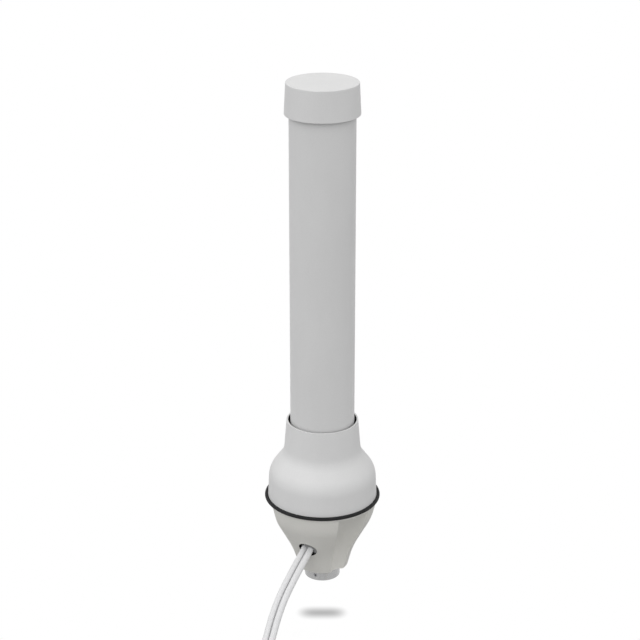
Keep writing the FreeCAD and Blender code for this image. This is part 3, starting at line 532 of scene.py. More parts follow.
@dataclass(frozen=True)
class Finish:
    """A surface finish: a material slot of the record, a colour and a roughness.

    A second finish in the same slot has a variant's name of its own. The swing is how
    far the roughness goes up and down, and the specular the strength of its gloss.
    """

    slot: str
    colour: Colour
    roughness: float
    specular: float = field(default=0.5, kw_only=True)
    swing: tuple[float, float] = field(default=(0.05, 0.05), kw_only=True)
    variant: str = field(default="", kw_only=True)

    @property
    def name(self) -> str:
        """What the finish is asked for by."""
        return self.variant or self.slot

    def build(self) -> bpy.types.Material:
        """Makes the material.

        Returns:
            The material, its Principled shader fed by this finish's own effects.
        """
        material = bpy.data.materials.new(f"finish_{self.name}")
        material.use_nodes = True
        inputs = material.node_tree.nodes["Principled BSDF"].inputs
        inputs["Base Color"].default_value = self.colour
        inputs["Roughness"].default_value = self.roughness
        inputs["Specular IOR Level"].default_value = self.specular
        self.shade(Graph(material.node_tree), inputs)
        return material

    def shade(self, graph: Graph, inputs: bpy.types.NodeInputs) -> None:
        """Feeds the shader; each kind of finish has its own."""

    def toned(self, factor: float, lift: float = 0.0) -> Colour:
        """This finish's colour times a factor and lifted, no channel over 1."""
        return (*(min(1.0, level * factor + lift) for level in self.colour[:3]), 1.0)

    def uneven(self, graph: Graph, pattern: Source) -> bpy.types.NodeSocket:
        """This finish's roughness, swung up and down by a pattern.

        Args:
            graph: The material's nodes.
            pattern: Smooth noise from 0 to 1.

        Returns:
            The roughness.
        """
        below, above = self.swing
        low, high = self.roughness - below, self.roughness + above
        return graph.remap(pattern, *NOISE_SPAN, low, high)

    def bump(
        self, graph: Graph, inputs: bpy.types.NodeInputs, height: Source, depth: float
    ) -> None:
        """Feeds the shader's normal from a height, of which 1 stands a depth proud."""
        bump = {"Height": height, "Distance": depth, "Strength": 1.0}
        graph.feed(inputs["Normal"], graph.add("ShaderNodeBump", bump).outputs["Normal"])


@dataclass(frozen=True)
class MouldedPlastic(Finish):
    """Injection-moulded plastic with a spark-etched grain."""

    specular: float = field(default=0.35, kw_only=True)
    grain_scale: float = 1700.0
    grain_depth: float = 0.00002
    drift: float = 0.03
    stipple: float = 0.06
    dust: float = 0.05
    # The edge lift below is wear, and on the cap also a painted highlight along its rim.
    rub: float = 1.05
    rub_radius: float = 0.0006
    rub_strength: float = 0.5
    polish: float = -0.12
    # Painted shade: faces that look towards the axis take the inside colour, and so does
    # the lining of the hole round the hole spindle.
    inside: Optional[Colour] = None
    hole: Optional[Spindle] = None
    hole_radius: float = 0.0
    hole_slack: float = 0.0001
    inward: float = -0.3

    def unlit(self, graph: Graph) -> bpy.types.NodeSocket:
        """Where shade is painted: 1 on faces that look towards the mast's axis or line the
        side hole.

        Args:
            graph: The material's nodes.

        Returns:
            The mask.
        """
        outward = graph.vector("MULTIPLY", graph.object_place(), (1.0, 1.0, 0.0))
        normal = graph.add("ShaderNodeNewGeometry").outputs["True Normal"]
        facing = graph.vector("DOT_PRODUCT", normal, graph.vector("NORMALIZE", outward))
        mask = graph.math("LESS_THAN", facing, self.inward)
        if self.hole is None:
            return mask
        along, away = graph.from_axis(self.hole.centre, self.hole.along)
        lining = graph.math("COMPARE", away, self.hole_radius, self.hole_slack)
        near = graph.math("GREATER_THAN", along, -2.0 * self.hole_radius)
        return graph.math("MAXIMUM", mask, graph.math("MULTIPLY", lining, near))

    def shade(self, graph: Graph, inputs: bpy.types.NodeInputs) -> None:
        """Grain, drift of tone, rubbed edges, dust, and painted shade on inward faces.

        Args:
            graph: The material's nodes.
            inputs: The Principled shader's inputs.
        """
        grain = EFFECTS.place(graph, Effect.GRAIN, Scale=self.grain_scale)
        tone = EFFECTS.place(
            graph, Effect.DRIFT, Colour=self.colour, Amount=self.drift, Stipple=self.stipple
        )
        wear = EFFECTS.place(
            graph, Effect.WEAR, Radius=self.rub_radius, Strength=self.rub_strength
        )
        dust = EFFECTS.place(graph, Effect.DUST, Amount=self.dust)
        # Rubbed edges are lifted: wear, and where the lift is strong, as on the cap, a
        # painted highlight.
        rubbed = graph.mix(wear["Mask"], tone["Colour"], self.toned(self.rub))
        colour = graph.mix(dust["Mask"], rubbed, DUST_TONE)
        # Painted shade: inward faces and the side hole's lining take the dark colour.
        if self.inside is not None:
            colour = graph.mix(self.unlit(graph), colour, self.inside)
        graph.feed(inputs["Base Color"], colour)
        rough = self.uneven(graph, grain["Mottle"])
        polished = graph.math("MULTIPLY_ADD", wear["Mask"], self.polish, rough)
        graph.feed(inputs["Roughness"], polished)
        self.bump(graph, inputs, grain["Height"], self.grain_depth)


@dataclass(frozen=True)
class PaintedGlassFibre(Finish):
    """A filament-wound glass-fibre tube under a thin satin paint."""

    specular: float = field(default=0.35, kw_only=True)
    tube_radius: float = 0.025
    grain_scale: float = 2300.0
    thread_pitch: float = 0.0016
    thread_depth: float = 0.000012
    thread_share: float = 0.35
    grain_share: float = 1.2
    drift: float = 0.03
    stipple: float = 0.06
    scuff: float = 0.12

    def wound(self, graph: Graph) -> bpy.types.NodeSocket:
        """Coordinates that run along the two crossing windings.

        Args:
            graph: The material's nodes.

        Returns:
            One coordinate along each winding, in metres.
        """
        split = graph.add("ShaderNodeSeparateXYZ", {0: graph.object_place()}).outputs
        angle = graph.math("ARCTAN2", split["Y"], split["X"])
        round_way = graph.math("MULTIPLY", angle, self.tube_radius)
        lean = graph.math("ADD", round_way, split["Z"])
        cross = graph.math("SUBTRACT", round_way, split["Z"])
        return graph.add("ShaderNodeCombineXYZ", {0: lean, 1: cross}).outputs[0]

    def shade(self, graph: Graph, inputs: bpy.types.NodeInputs) -> None:
        """Wound threads that just show through the paint, and a fine stipple.

        Args:
            graph: The material's nodes.
            inputs: The Principled shader's inputs.
        """
        weave = EFFECTS.place(
            graph, Effect.WEAVE, Vector=self.wound(graph), Pitch=self.thread_pitch
        )
        grain = EFFECTS.place(graph, Effect.GRAIN, Scale=self.grain_scale)
        tone = EFFECTS.place(
            graph, Effect.DRIFT, Colour=self.colour, Amount=self.drift, Stipple=self.stipple
        )
        scuffs = EFFECTS.place(graph, Effect.SCUFFS, Amount=self.scuff)
        colour = graph.mix(scuffs["Mask"], tone["Colour"], self.toned(0.94))
        graph.feed(inputs["Base Color"], colour)
        graph.feed(inputs["Roughness"], self.uneven(graph, grain["Mottle"]))
        stipple = graph.math("MULTIPLY", grain["Height"], self.grain_share)
        height = graph.math("MULTIPLY_ADD", weave["Height"], self.thread_share, stipple)
        self.bump(graph, inputs, height, self.thread_depth)


@dataclass(frozen=True)
class Rubber(Finish):
    """Moulded black or grey rubber with a dull skin."""

    swing: tuple[float, float] = field(default=(0.08, 0.06), kw_only=True)
    bloom: float = 0.35
    grain_scale: float = 2600.0
    grain_depth: float = 0.000015
    bloom_scale: float = 420.0
    rub_radius: float = 0.0004
    rub_strength: float = 0.3

    def shade(self, graph: Graph, inputs: bpy.types.NodeInputs) -> None:
        """A fine skin, with a grey bloom where it has been rubbed and dusted.

        Args:
            graph: The material's nodes.
            inputs: The Principled shader's inputs.
        """
        grain = EFFECTS.place(graph, Effect.GRAIN, Scale=self.grain_scale)
        dust = EFFECTS.place(graph, Effect.DUST, Amount=self.bloom, Scale=self.bloom_scale)
        wear = EFFECTS.place(
            graph, Effect.WEAR, Radius=self.rub_radius, Strength=self.rub_strength
        )
        film = graph.math("MAXIMUM", dust["Mask"], wear["Mask"])
        colour = graph.mix(film, self.colour, self.toned(1.9, 0.008))
        graph.feed(inputs["Base Color"], colour)
        graph.feed(inputs["Roughness"], self.uneven(graph, grain["Mottle"]))
        self.bump(graph, inputs, grain["Height"], self.grain_depth)


@dataclass(frozen=True)
class TurnedMetal(Finish):
    """Turned and plated metal, its tool marks round an axis."""

    swing: tuple[float, float] = field(default=(0.06, 0.06), kw_only=True)
    axis: Spindle = Spindle()
    metallic: float = 1.0
    mark_scale: float = 4200.0
    mark_depth: float = 0.000006
    drift: float = 0.08
    drift_scale: float = 240.0
    rub_radius: float = 0.0003
    rub_strength: float = 0.4
    scuff: float = 0.5
    scuff_scale: float = 260.0
    scuff_roughness: float = 0.15

    def shade(self, graph: Graph, inputs: bpy.types.NodeInputs) -> None:
        """Tool marks, drifting plate tone, bright edges and hair scratches.

        Args:
            graph: The material's nodes.
            inputs: The Principled shader's inputs.
        """
        marks = EFFECTS.place(
            graph, Effect.TURNING,
            Centre=self.axis.centre, Axis=self.axis.along, Scale=self.mark_scale,
        )
        tone = EFFECTS.place(
            graph, Effect.DRIFT,
            Colour=self.colour, Amount=self.drift, Scale=self.drift_scale,
        )
        wear = EFFECTS.place(
            graph, Effect.WEAR, Radius=self.rub_radius, Strength=self.rub_strength
        )
        scuffs = EFFECTS.place(
            graph, Effect.SCUFFS, Scale=self.scuff_scale, Amount=self.scuff
        )
        colour = graph.mix(wear["Mask"], tone["Colour"], self.toned(1.15))
        graph.feed(inputs["Base Color"], colour)
        rough = self.uneven(graph, marks["Height"])
        scuffed = graph.math("MULTIPLY_ADD", scuffs["Mask"], self.scuff_roughness, rough)
        graph.feed(inputs["Roughness"], scuffed)
        inputs["Metallic"].default_value = self.metallic
        self.bump(graph, inputs, marks["Height"], self.mark_depth)


@dataclass(frozen=True)
class CableJacket(Finish):
    """Extruded cable jacket with a soft satin skin."""

    specular: float = field(default=0.45, kw_only=True)
    swing: tuple[float, float] = field(default=(0.06, 0.06), kw_only=True)
    grain_scale: float = 1900.0
    grain_depth: float = 0.000005
    drift: float = 0.015
    drift_scale: float = 60.0
    scuff: float = 0.04
    scuff_scale: float = 190.0
    # How dark and how far the painted shade between the cables reaches.
    dirt: float = 0.43
    dirt_reach: float = 0.009

    def shade(self, graph: Graph, inputs: bpy.types.NodeInputs) -> None:
        """A fine skin, drift of tone, light scuffs, and painted shade between the cables.

        Args:
            graph: The material's nodes.
            inputs: The Principled shader's inputs.
        """
        grain = EFFECTS.place(graph, Effect.GRAIN, Scale=self.grain_scale)
        tone = EFFECTS.place(
            graph, Effect.DRIFT,
            Colour=self.colour, Amount=self.drift, Scale=self.drift_scale,
        )
        scuffs = EFFECTS.place(
            graph, Effect.SCUFFS, Scale=self.scuff_scale, Amount=self.scuff
        )
        crevice = EFFECTS.place(
            graph, Effect.CREVICE, Reach=self.dirt_reach, Amount=self.dirt
        )
        scuffed = graph.mix(scuffs["Mask"], tone["Colour"], self.toned(0.92))
        # Painted shade darkens the jacket where another surface stands close, as between
        # the cables.
        colour = graph.mix(crevice["Mask"], scuffed, self.toned(0.3))
        graph.feed(inputs["Base Color"], colour)
        graph.feed(inputs["Roughness"], self.uneven(graph, grain["Mottle"]))
        self.bump(graph, inputs, grain["Height"], self.grain_depth)


@dataclass(frozen=True)
class BoardLaminate(Finish):
    """Woven glass laminate under a green solder mask."""

    pitch: float = 0.0009
    depth: float = 0.00002
    drift: float = 0.05
    thread_tone: float = 0.4

    def shade(self, graph: Graph, inputs: bpy.types.NodeInputs) -> None:
        """The glass cloth's weave shows as a faint tone and relief.

        Args:
            graph: The material's nodes.
            inputs: The Principled shader's inputs.
        """
        split = graph.add("ShaderNodeSeparateXYZ", {0: graph.object_place()}).outputs
        flat = graph.add("ShaderNodeCombineXYZ", {0: split["X"], 1: split["Z"]}).outputs[0]
        weave = EFFECTS.place(graph, Effect.WEAVE, Vector=flat, Pitch=self.pitch)
        tone = EFFECTS.place(graph, Effect.DRIFT, Colour=self.colour, Amount=self.drift)
        share = graph.math("MULTIPLY", weave["Tone"], self.thread_tone)
        colour = graph.mix(share, tone["Colour"], self.toned(0.88))
        graph.feed(inputs["Base Color"], colour)
        self.bump(graph, inputs, weave["Height"], self.depth)


@dataclass(frozen=True)
class ClosedFoam(Finish):
    """Closed-cell foam with its cut cells open at the surface."""

    cells_per_metre: float = 1400.0
    depth: float = 0.0002

    def shade(self, graph: Graph, inputs: bpy.types.NodeInputs) -> None:
        """Small round cells as relief, and painted shade darkening their bottoms.

        Args:
            graph: The material's nodes.
            inputs: The Principled shader's inputs.
        """
        cells = graph.add(
            "ShaderNodeTexVoronoi",
            {"Vector": graph.object_place(), "Scale": self.cells_per_metre},
        ).outputs["Distance"]
        # Painted shade darkens each cell's bottom.
        share = graph.remap(cells, 0.0, 0.6, 1.0, 0.0)
        graph.feed(inputs["Base Color"], graph.mix(share, self.colour, self.toned(0.7)))
        self.bump(graph, inputs, cells, self.depth)


@dataclass(frozen=True)
class WovenStrap(Finish):
    """A woven hook-and-loop strap."""

    pitch: float = 0.0005
    depth: float = 0.00012
    sheen: float = 0.4
    fuzz_scale: float = 5200.0
    fuzz_share: float = 0.6

    def shade(self, graph: Graph, inputs: bpy.types.NodeInputs) -> None:
        """Crossed threads on the strap's own length and width, with loose fuzz.

        Args:
            graph: The material's nodes.
            inputs: The Principled shader's inputs.
        """
        strap = graph.add("ShaderNodeUVMap", uv_map=STRAP_MAP).outputs["UV"]
        weave = EFFECTS.place(graph, Effect.WEAVE, Vector=strap, Pitch=self.pitch)
        where = graph.object_place()
        fuzz = graph.noise(where, self.fuzz_scale, detail=3.0, roughness=0.7)
        threads = graph.mix(weave["Tone"], self.colour, self.toned(0.5))
        share = graph.remap(fuzz, 0.45, 0.75, 0.0, self.fuzz_share)
        graph.feed(inputs["Base Color"], graph.mix(share, threads, self.toned(1.6)))
        inputs["Sheen Weight"].default_value = self.sheen
        height = graph.math("MULTIPLY_ADD", fuzz, self.fuzz_share, weave["Height"])
        self.bump(graph, inputs, height, self.depth)


class Wardrobe:
    """Every finish of the antenna, each built once when it is first used."""

    def __init__(self, finishes: Iterable[Finish]) -> None:
        """Files the finishes by their name."""
        self.finishes = {finish.name: finish for finish in finishes}
        self.built: dict[str, bpy.types.Material] = {}

    def material(self, name: str) -> bpy.types.Material:
        """The material of a finish.

        Args:
            name: The finish's name.

        Returns:
            The material.
        """
        if name not in self.built:
            self.built[name] = self.finishes[name].build()
        return self.built[name]

    def dress(self, thing: bpy.types.Object, name: str) -> None:
        """Puts a finish on a piece.

        Args:
            thing: A CAD node's object or a new piece.
            name: The finish's name, which is its slot's unless it is a variant.
        """
        material = self.material(name)
        if not thing.data.materials:
            thing.data.materials.append(material)
        for place in thing.material_slots:
            place.material = material


PLUG_CENTRES = {Side.A: (0.0665, 0.0, -0.0331), Side.B: (0.078, 0.0, -0.0331)}
PLUG_AXIS = Spindle(PLUG_CENTRES[Side.A], UP_Y)
HOLE_TILT = math.radians(28.63)
HOLE_RADIUS = 0.0074
CABLE_HOLE = Spindle(
    (0.0, -0.02941, 0.0353), (0.0, -math.cos(HOLE_TILT), -math.sin(HOLE_TILT))
)

WARDROBE = Wardrobe(
    [
        # The cap's wide, strong edge lift is partly wear and partly a painted highlight on
        # its rim.
        MouldedPlastic("cap_plastic", WHITE, 0.55, rub=1.16, rub_radius=0.0012),
        PaintedGlassFibre("radome_glassfibre", from_srgb(226, 226, 226), 0.5),
        # Painted shade on the bell's inward faces darkens the gap round the tube at its
        # neck.
        MouldedPlastic("bell_plastic", WHITE, 0.55, rub=1.1, inside=PAINTED_SHADE),
        Rubber("seal_rubber", from_srgb(24, 24, 25), 0.7, 0.1, specular=0.2),
        Rubber("gasket_rubber", from_srgb(29, 29, 30), 0.65, 0.1, specular=0.2),
        # Painted shade on the base's inward faces and on the lining of its side hole.
        MouldedPlastic(
            "base_plastic", from_srgb(230, 229, 224), 0.6, grain_scale=1200.0,
            grain_depth=0.00003, inside=PAINTED_SHADE, hole=CABLE_HOLE, hole_radius=HOLE_RADIUS,
        ),
        TurnedMetal("screw_steel", from_srgb(178, 178, 176), 0.32),
        TurnedMetal(
            "grub_steel", from_srgb(150, 150, 152), 0.4,
            Spindle((0.0, 0.0, GRUB_LEVEL), UP_Y),
        ),
        TurnedMetal("collar_metal", from_srgb(174, 174, 174), 0.28),
        # The carrier's dark colour is painted shade: it keeps the side hole black where the
        # carrier shows through.
        MouldedPlastic("carrier_plastic", from_srgb(60, 61, 64), 0.6),
        MouldedPlastic("clamp_plastic", from_srgb(80, 80, 81), 0.6),
        MouldedPlastic(
            "clamp_plastic", from_srgb(142, 142, 143), 0.6, variant="bush_plastic"
        ),
        BoardLaminate("board_laminate", from_srgb(89, 152, 112), 0.5),
        TurnedMetal("plate_copper", from_srgb(222, 160, 120), 0.35),
        ClosedFoam("spacer_foam", from_srgb(214, 214, 210), 0.9),
        CableJacket("cable_jacket", from_srgb(230, 230, 231), 0.45),
        CableJacket("feed_jacket", from_srgb(176, 128, 84), 0.4),
        WovenStrap("tie_fabric", from_srgb(58, 58, 60), 0.9),
        Rubber("sleeve_rubber", from_srgb(44, 44, 45), 0.5),
        TurnedMetal("plug_metal", from_srgb(222, 190, 118), 0.24, PLUG_AXIS),
        MouldedPlastic("insulator_plastic", from_srgb(240, 240, 238), 0.45),
        TurnedMetal("pin_metal", from_srgb(228, 192, 112), 0.2, PLUG_AXIS),
    ]
)


def fit(piece: bpy.types.Object, finish: str, body: str, *nodes: str) -> None:
    """Dresses a new piece, rides it, and puts it in the place of CAD nodes.

    Args:
        piece: The new piece.
        finish: The finish's name.
        body: The body that it moves with.
        nodes: The CAD nodes that it stands for, which take the same finish.
    """
    WARDROBE.dress(piece, finish)
    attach(piece, body)
    for node in nodes:
        WARDROBE.dress(frame["nodes"][node], finish)
    if nodes:
        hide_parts(*nodes)
    LOG.info("%s made, finish %s, stands for %s", piece.name, finish, nodes or "no node")


@dataclass(frozen=True)
class KeptNode:
    """A CAD node whose shape is right as it is, with the finish it takes."""

    node: str
    slot: str

    def dress(self) -> None:
        """Dresses the node."""
        WARDROBE.dress(frame["nodes"][self.node], self.slot)
        LOG.info("%s keeps its shape, finish %s", self.node, self.slot)


@dataclass(frozen=True)
class KeptPieces:
    """CAD nodes that belong together and all keep their shape."""

    pieces: tuple[KeptNode, ...] = ()

    def build(self) -> None:
        """Dresses every piece."""
        for piece in self.pieces:
            piece.dress()


# --- Mesh tools ---------------------------------------------------------------


def placed(name: str, data: bpy.types.ID) -> bpy.types.Object:
    """Makes an object of a mesh, a curve, a camera or a lamp.

    Args:
        name: The object's name.
        data: What it shows.

    Returns:
        The object, linked to the scene.
    """
    thing = bpy.data.objects.new(name, data)
    bpy.context.scene.collection.objects.link(thing)
    return thing


def eased(share: float) -> float:
    """A share held between 0 and 1 that starts and ends gently."""
    held = min(max(share, 0.0), 1.0)
    return held * held * (3.0 - 2.0 * held)


def around(
    radius: float, turn: float, level: float, centre: tuple[float, float] = (0.0, 0.0)
) -> Vector:
    """The point at a radius, an angle and a level round an upright line."""
    x, y = centre
    return Vector((x + radius * math.cos(turn), y + radius * math.sin(turn), level))


def arc(radius: float, first: float, last: float, steps: int) -> list[tuple[float, float]]:
    """Points on an arc round the origin.

    Args:
        radius: The arc's radius.
        first: The angle of its first point, in degrees.
        last: The angle of its last point.
        steps: How many points follow the first.

    Returns:
        The points.
    """
    points = []
    for step in range(steps + 1):
        turn = math.radians(first + (last - first) * step / steps)
        points.append((radius * math.cos(turn), radius * math.sin(turn)))
    return points


@dataclass(frozen=True)
class Thread:
    """A single-start inside thread, cut outwards from its smallest radius."""

    radius: float
    depth: float
    pitch: float
    row: float
    flat: float = 0.12

    def ring(self, level: float, fade: float) -> Ring:
        """One row of the thread.

        Args:
            level: The row's height.
            fade: How much of the full depth the row has.

        Returns:
            The row's radius and height at each angle.
        """
        def at(angle: float) -> tuple[float, float]:
            """The thread's truncated triangle at an angle.

            Args:
                angle: The angle round the axis.

            Returns:
                The radius and the height.
            """
            phase = (level / self.pitch - angle / TURN) % 1.0
            slope = abs(phase * 2.0 - 1.0)
            share = min(max((slope - self.flat) / (1.0 - 2.0 * self.flat), 0.0), 1.0)
            return self.radius + self.depth * fade * share, level

        return at

    def rings(self, low: float, high: float, mouth: float = 0.0) -> list[Ring]:
        """All rows between two heights, running out over the last turn.

        Args:
            low: Where the thread starts.
            high: Where it has run out.
            mouth: The radius of a 45 degree countersink at the low end, if any.

        Returns:
            The rows from low to high.
        """
        count = round((high - low) / self.row)
        rows: list[Ring] = []
        for index in range(count + 1):
            level = low + (high - low) * index / count
            fade = min(1.0, (high - level) / self.pitch)
            rows.append(self.opened(self.ring(level, fade), mouth - (level - low)))
        return rows

    @staticmethod
    def opened(row: Ring, least: float) -> Ring:
        """A row that is nowhere narrower than a countersink there."""
        return lambda angle: (max(row(angle)[0], least), row(angle)[1])


def circle(radius: float, level: float) -> Ring:
    """A plain round ring."""
    return lambda angle: (radius, level)


def circles(outline: Iterable[tuple[float, float]]) -> list[Ring]:
    """Plain round rings at radii and levels in millimetres."""
    return [circle(radius * MM, level * MM) for radius, level in outline]


def round_edge(
    centre: tuple[float, float], radius: float, start: float, end: float, steps: int = 5
) -> list[Ring]:
    """Rings over a rounding round a radius and a level, its angles in degrees."""
    edge = arc(radius, start, end, steps)
    return [circle(centre[0] + out, centre[1] + up) for out, up in edge]


def rounded(
    corners: Sequence[tuple[float, float, float]], steps: int = 8
) -> list[tuple[float, float]]:
    """An outline whose corners are rounded.

    Args:
        corners: Each corner's radius from the axis, level and rounding.
        steps: How many points each rounding has after its first.

    Returns:
        The outline's points.
    """
    points: list[tuple[float, float]] = []
    for index, (radius, level, size) in enumerate(corners):
        if not size:
            points.append((radius, level))
            continue
        here = Vector((radius, level))
        back = (Vector(corners[index - 1][:2]) - here).normalized()
        ahead = (Vector(corners[index + 1][:2]) - here).normalized()
        half = back.angle(ahead) / 2.0
        middle = here + (back + ahead).normalized() * (size / math.sin(half))
        start = here + back * (size / math.tan(half)) - middle
        sweep = math.atan2(start.cross(ahead), start.dot(ahead))
        sweep = math.copysign(math.pi - 2.0 * half, sweep)
        for step in range(steps + 1):
            turn = Matrix.Rotation(sweep * step / steps, 2)
            points.append(tuple(middle + turn @ start))
    return points


def level_on(outline: Sequence[tuple[float, float]], at: float) -> float:
    """The radius of a rising outline at a level.

    Args:
        outline: Points of radius and level.
        at: The level.

    Returns:
        The radius in between.
    """
    for (low, below), (high, above) in zip(outline, outline[1:]):
        if below <= at <= above and above > below:
            return low + (high - low) * (at - below) / (above - below)
    return outline[0][0] if at < outline[0][1] else outline[-1][0]


def hexagon(radius: float, angle: float) -> float:
    """A hexagon's radius at an angle, with a corner at angle 0."""
    sixth = TURN / 6.0
    return radius * math.cos(sixth / 2.0) / math.cos((angle % sixth) - sixth / 2.0)


class Workshop:
    """Makes meshes from rings, grids and cuts."""

    sharp_angle: float = math.radians(32.0)

    def finish(self, name: str, shape: bmesh.types.BMesh) -> bpy.types.Object:
        """Turns a shape into a piece with smooth faces and sharp edges.

        Args:
            name: The piece's name.
            shape: The shape, which is used up.

        Returns:
            The piece, linked to the scene.
        """
        bmesh.ops.recalc_face_normals(shape, faces=shape.faces)
        mesh = bpy.data.meshes.new(name)
        shape.to_mesh(mesh)
        shape.free()
        self.smooth(mesh)
        return placed(name, mesh)

    def smooth(self, mesh: bpy.types.Mesh) -> None:
        """Shades a mesh smooth between its sharp edges."""
        mesh.shade_smooth()
        mesh.set_sharp_from_angle(angle=self.sharp_angle)

    def turned(
        self, name: str, spindle: Spindle, rings: Sequence[Ring], segments: int,
        closed: bool = True,
    ) -> bpy.types.Object:
        """Makes a piece of rings round an axis.

        Args:
            name: The piece's name.
            spindle: Its axis.
            rings: Its section, ring by ring.
            segments: How many points each ring has.
            closed: Whether the last ring joins the first; if not, both are capped.

        Returns:
            The piece.
        """
        place = spindle.matrix()
        angles = [TURN * index / segments for index in range(segments)]
        loops = []
        for ring in rings:
            spots = ((angle, *ring(angle)) for angle in angles)
            loops.append([place @ around(out, turn, level) for turn, out, level in spots])
        return self.skinned(name, loops, closed)

    def skinned(
        self, name: str, loops: Sequence[Sequence[Vector]], closed: bool
    ) -> bpy.types.Object:
        """Skins a row of loops that have the same number of points.

        Args:
            name: The piece's name.
            loops: The loops' points.
            closed: Whether the last loop joins the first; if not, both are capped.

        Returns:
            The piece.
        """
        shape = bmesh.new()
        rows = [[shape.verts.new(spot) for spot in loop] for loop in loops]
        self.skin(shape, rows, closed)
        return self.finish(name, shape)

    @staticmethod
    def skin(
        shape: bmesh.types.BMesh, rows: Sequence[Sequence[bmesh.types.BMVert]], closed: bool
    ) -> None:
        """Makes the faces between rows of the same number of points.

        Args:
            shape: The shape that the rows are in.
            rows: The rows.
            closed: Whether the last row joins the first; if not, both are capped.
        """
        pairs = list(zip(rows, rows[1:]))
        if closed:
            pairs.append((rows[-1], rows[0]))
        else:
            shape.faces.new(rows[0])
            shape.faces.new(rows[-1])
        for low, high in pairs:
            for index in range(len(low)):
                after = (index + 1) % len(low)
                shape.faces.new((low[index], low[after], high[after], high[index]))

    def drilled(self, piece: bpy.types.Object, drills: Sequence[bpy.types.Object]) -> None:
        """Cuts other pieces out of a piece, and removes them.

        Args:
            piece: What is cut.
            drills: What is cut away.
        """
        for drill in drills:
            cut = piece.modifiers.new("cut", "BOOLEAN")
            cut.operation = "DIFFERENCE"
            cut.solver = "EXACT"
            cut.object = drill
        evaluated = piece.evaluated_get(bpy.context.evaluated_depsgraph_get())
        rough = piece.data
        mesh = bpy.data.meshes.new_from_object(evaluated)
        piece.modifiers.clear()
        piece.data = mesh
        bpy.data.meshes.remove(rough)
        for drill in drills:
            bpy.data.objects.remove(drill)
        mesh.name = piece.name
        self.smooth(mesh)


WORKSHOP = Workshop()


# --- Cables -------------------------------------------------------------------


@dataclass
class CoilWinding:
    """The put-away length: the pair wound on edge, inwards and then out again."""

    centre: tuple[float, float] = COIL_CENTRE
    inner_radius: float = 0.0215
    pitch: float = 0.0052
    turns: float = 8.5
    points_per_turn: int = 16
    first_angle: float = math.pi
    tier_rise: float = 0.0104
    rise_share: float = 0.5
    turning_width: float = 0.3

    def points(self, level: float) -> list[Vector]:
        """The coil's control points after its first point, up to its last but one.

        Args:
            level: The height of this cable in the lower tier.

        Returns:
            The points, a little outside the turns because the spline cuts inside.
        """
        step = TURN / self.points_per_turn
        spread = 1.0 / ((3.0 + math.cos(step)) / 4.0)
        count = round(self.turns * self.points_per_turn)
        middle = self.turns / 2.0
        points = []
        for index in range(1, count):
            turn = index / self.points_per_turn
            away = turn - middle
            widening = away * math.tanh(away / self.turning_width)
            radius = self.inner_radius + self.pitch * widening
            height = level + self.tier_rise * eased(away / self.rise_share + 0.5)
            angle = self.first_angle + turn * TURN
            points.append(around(radius * spread, angle, height, self.centre))
        return points


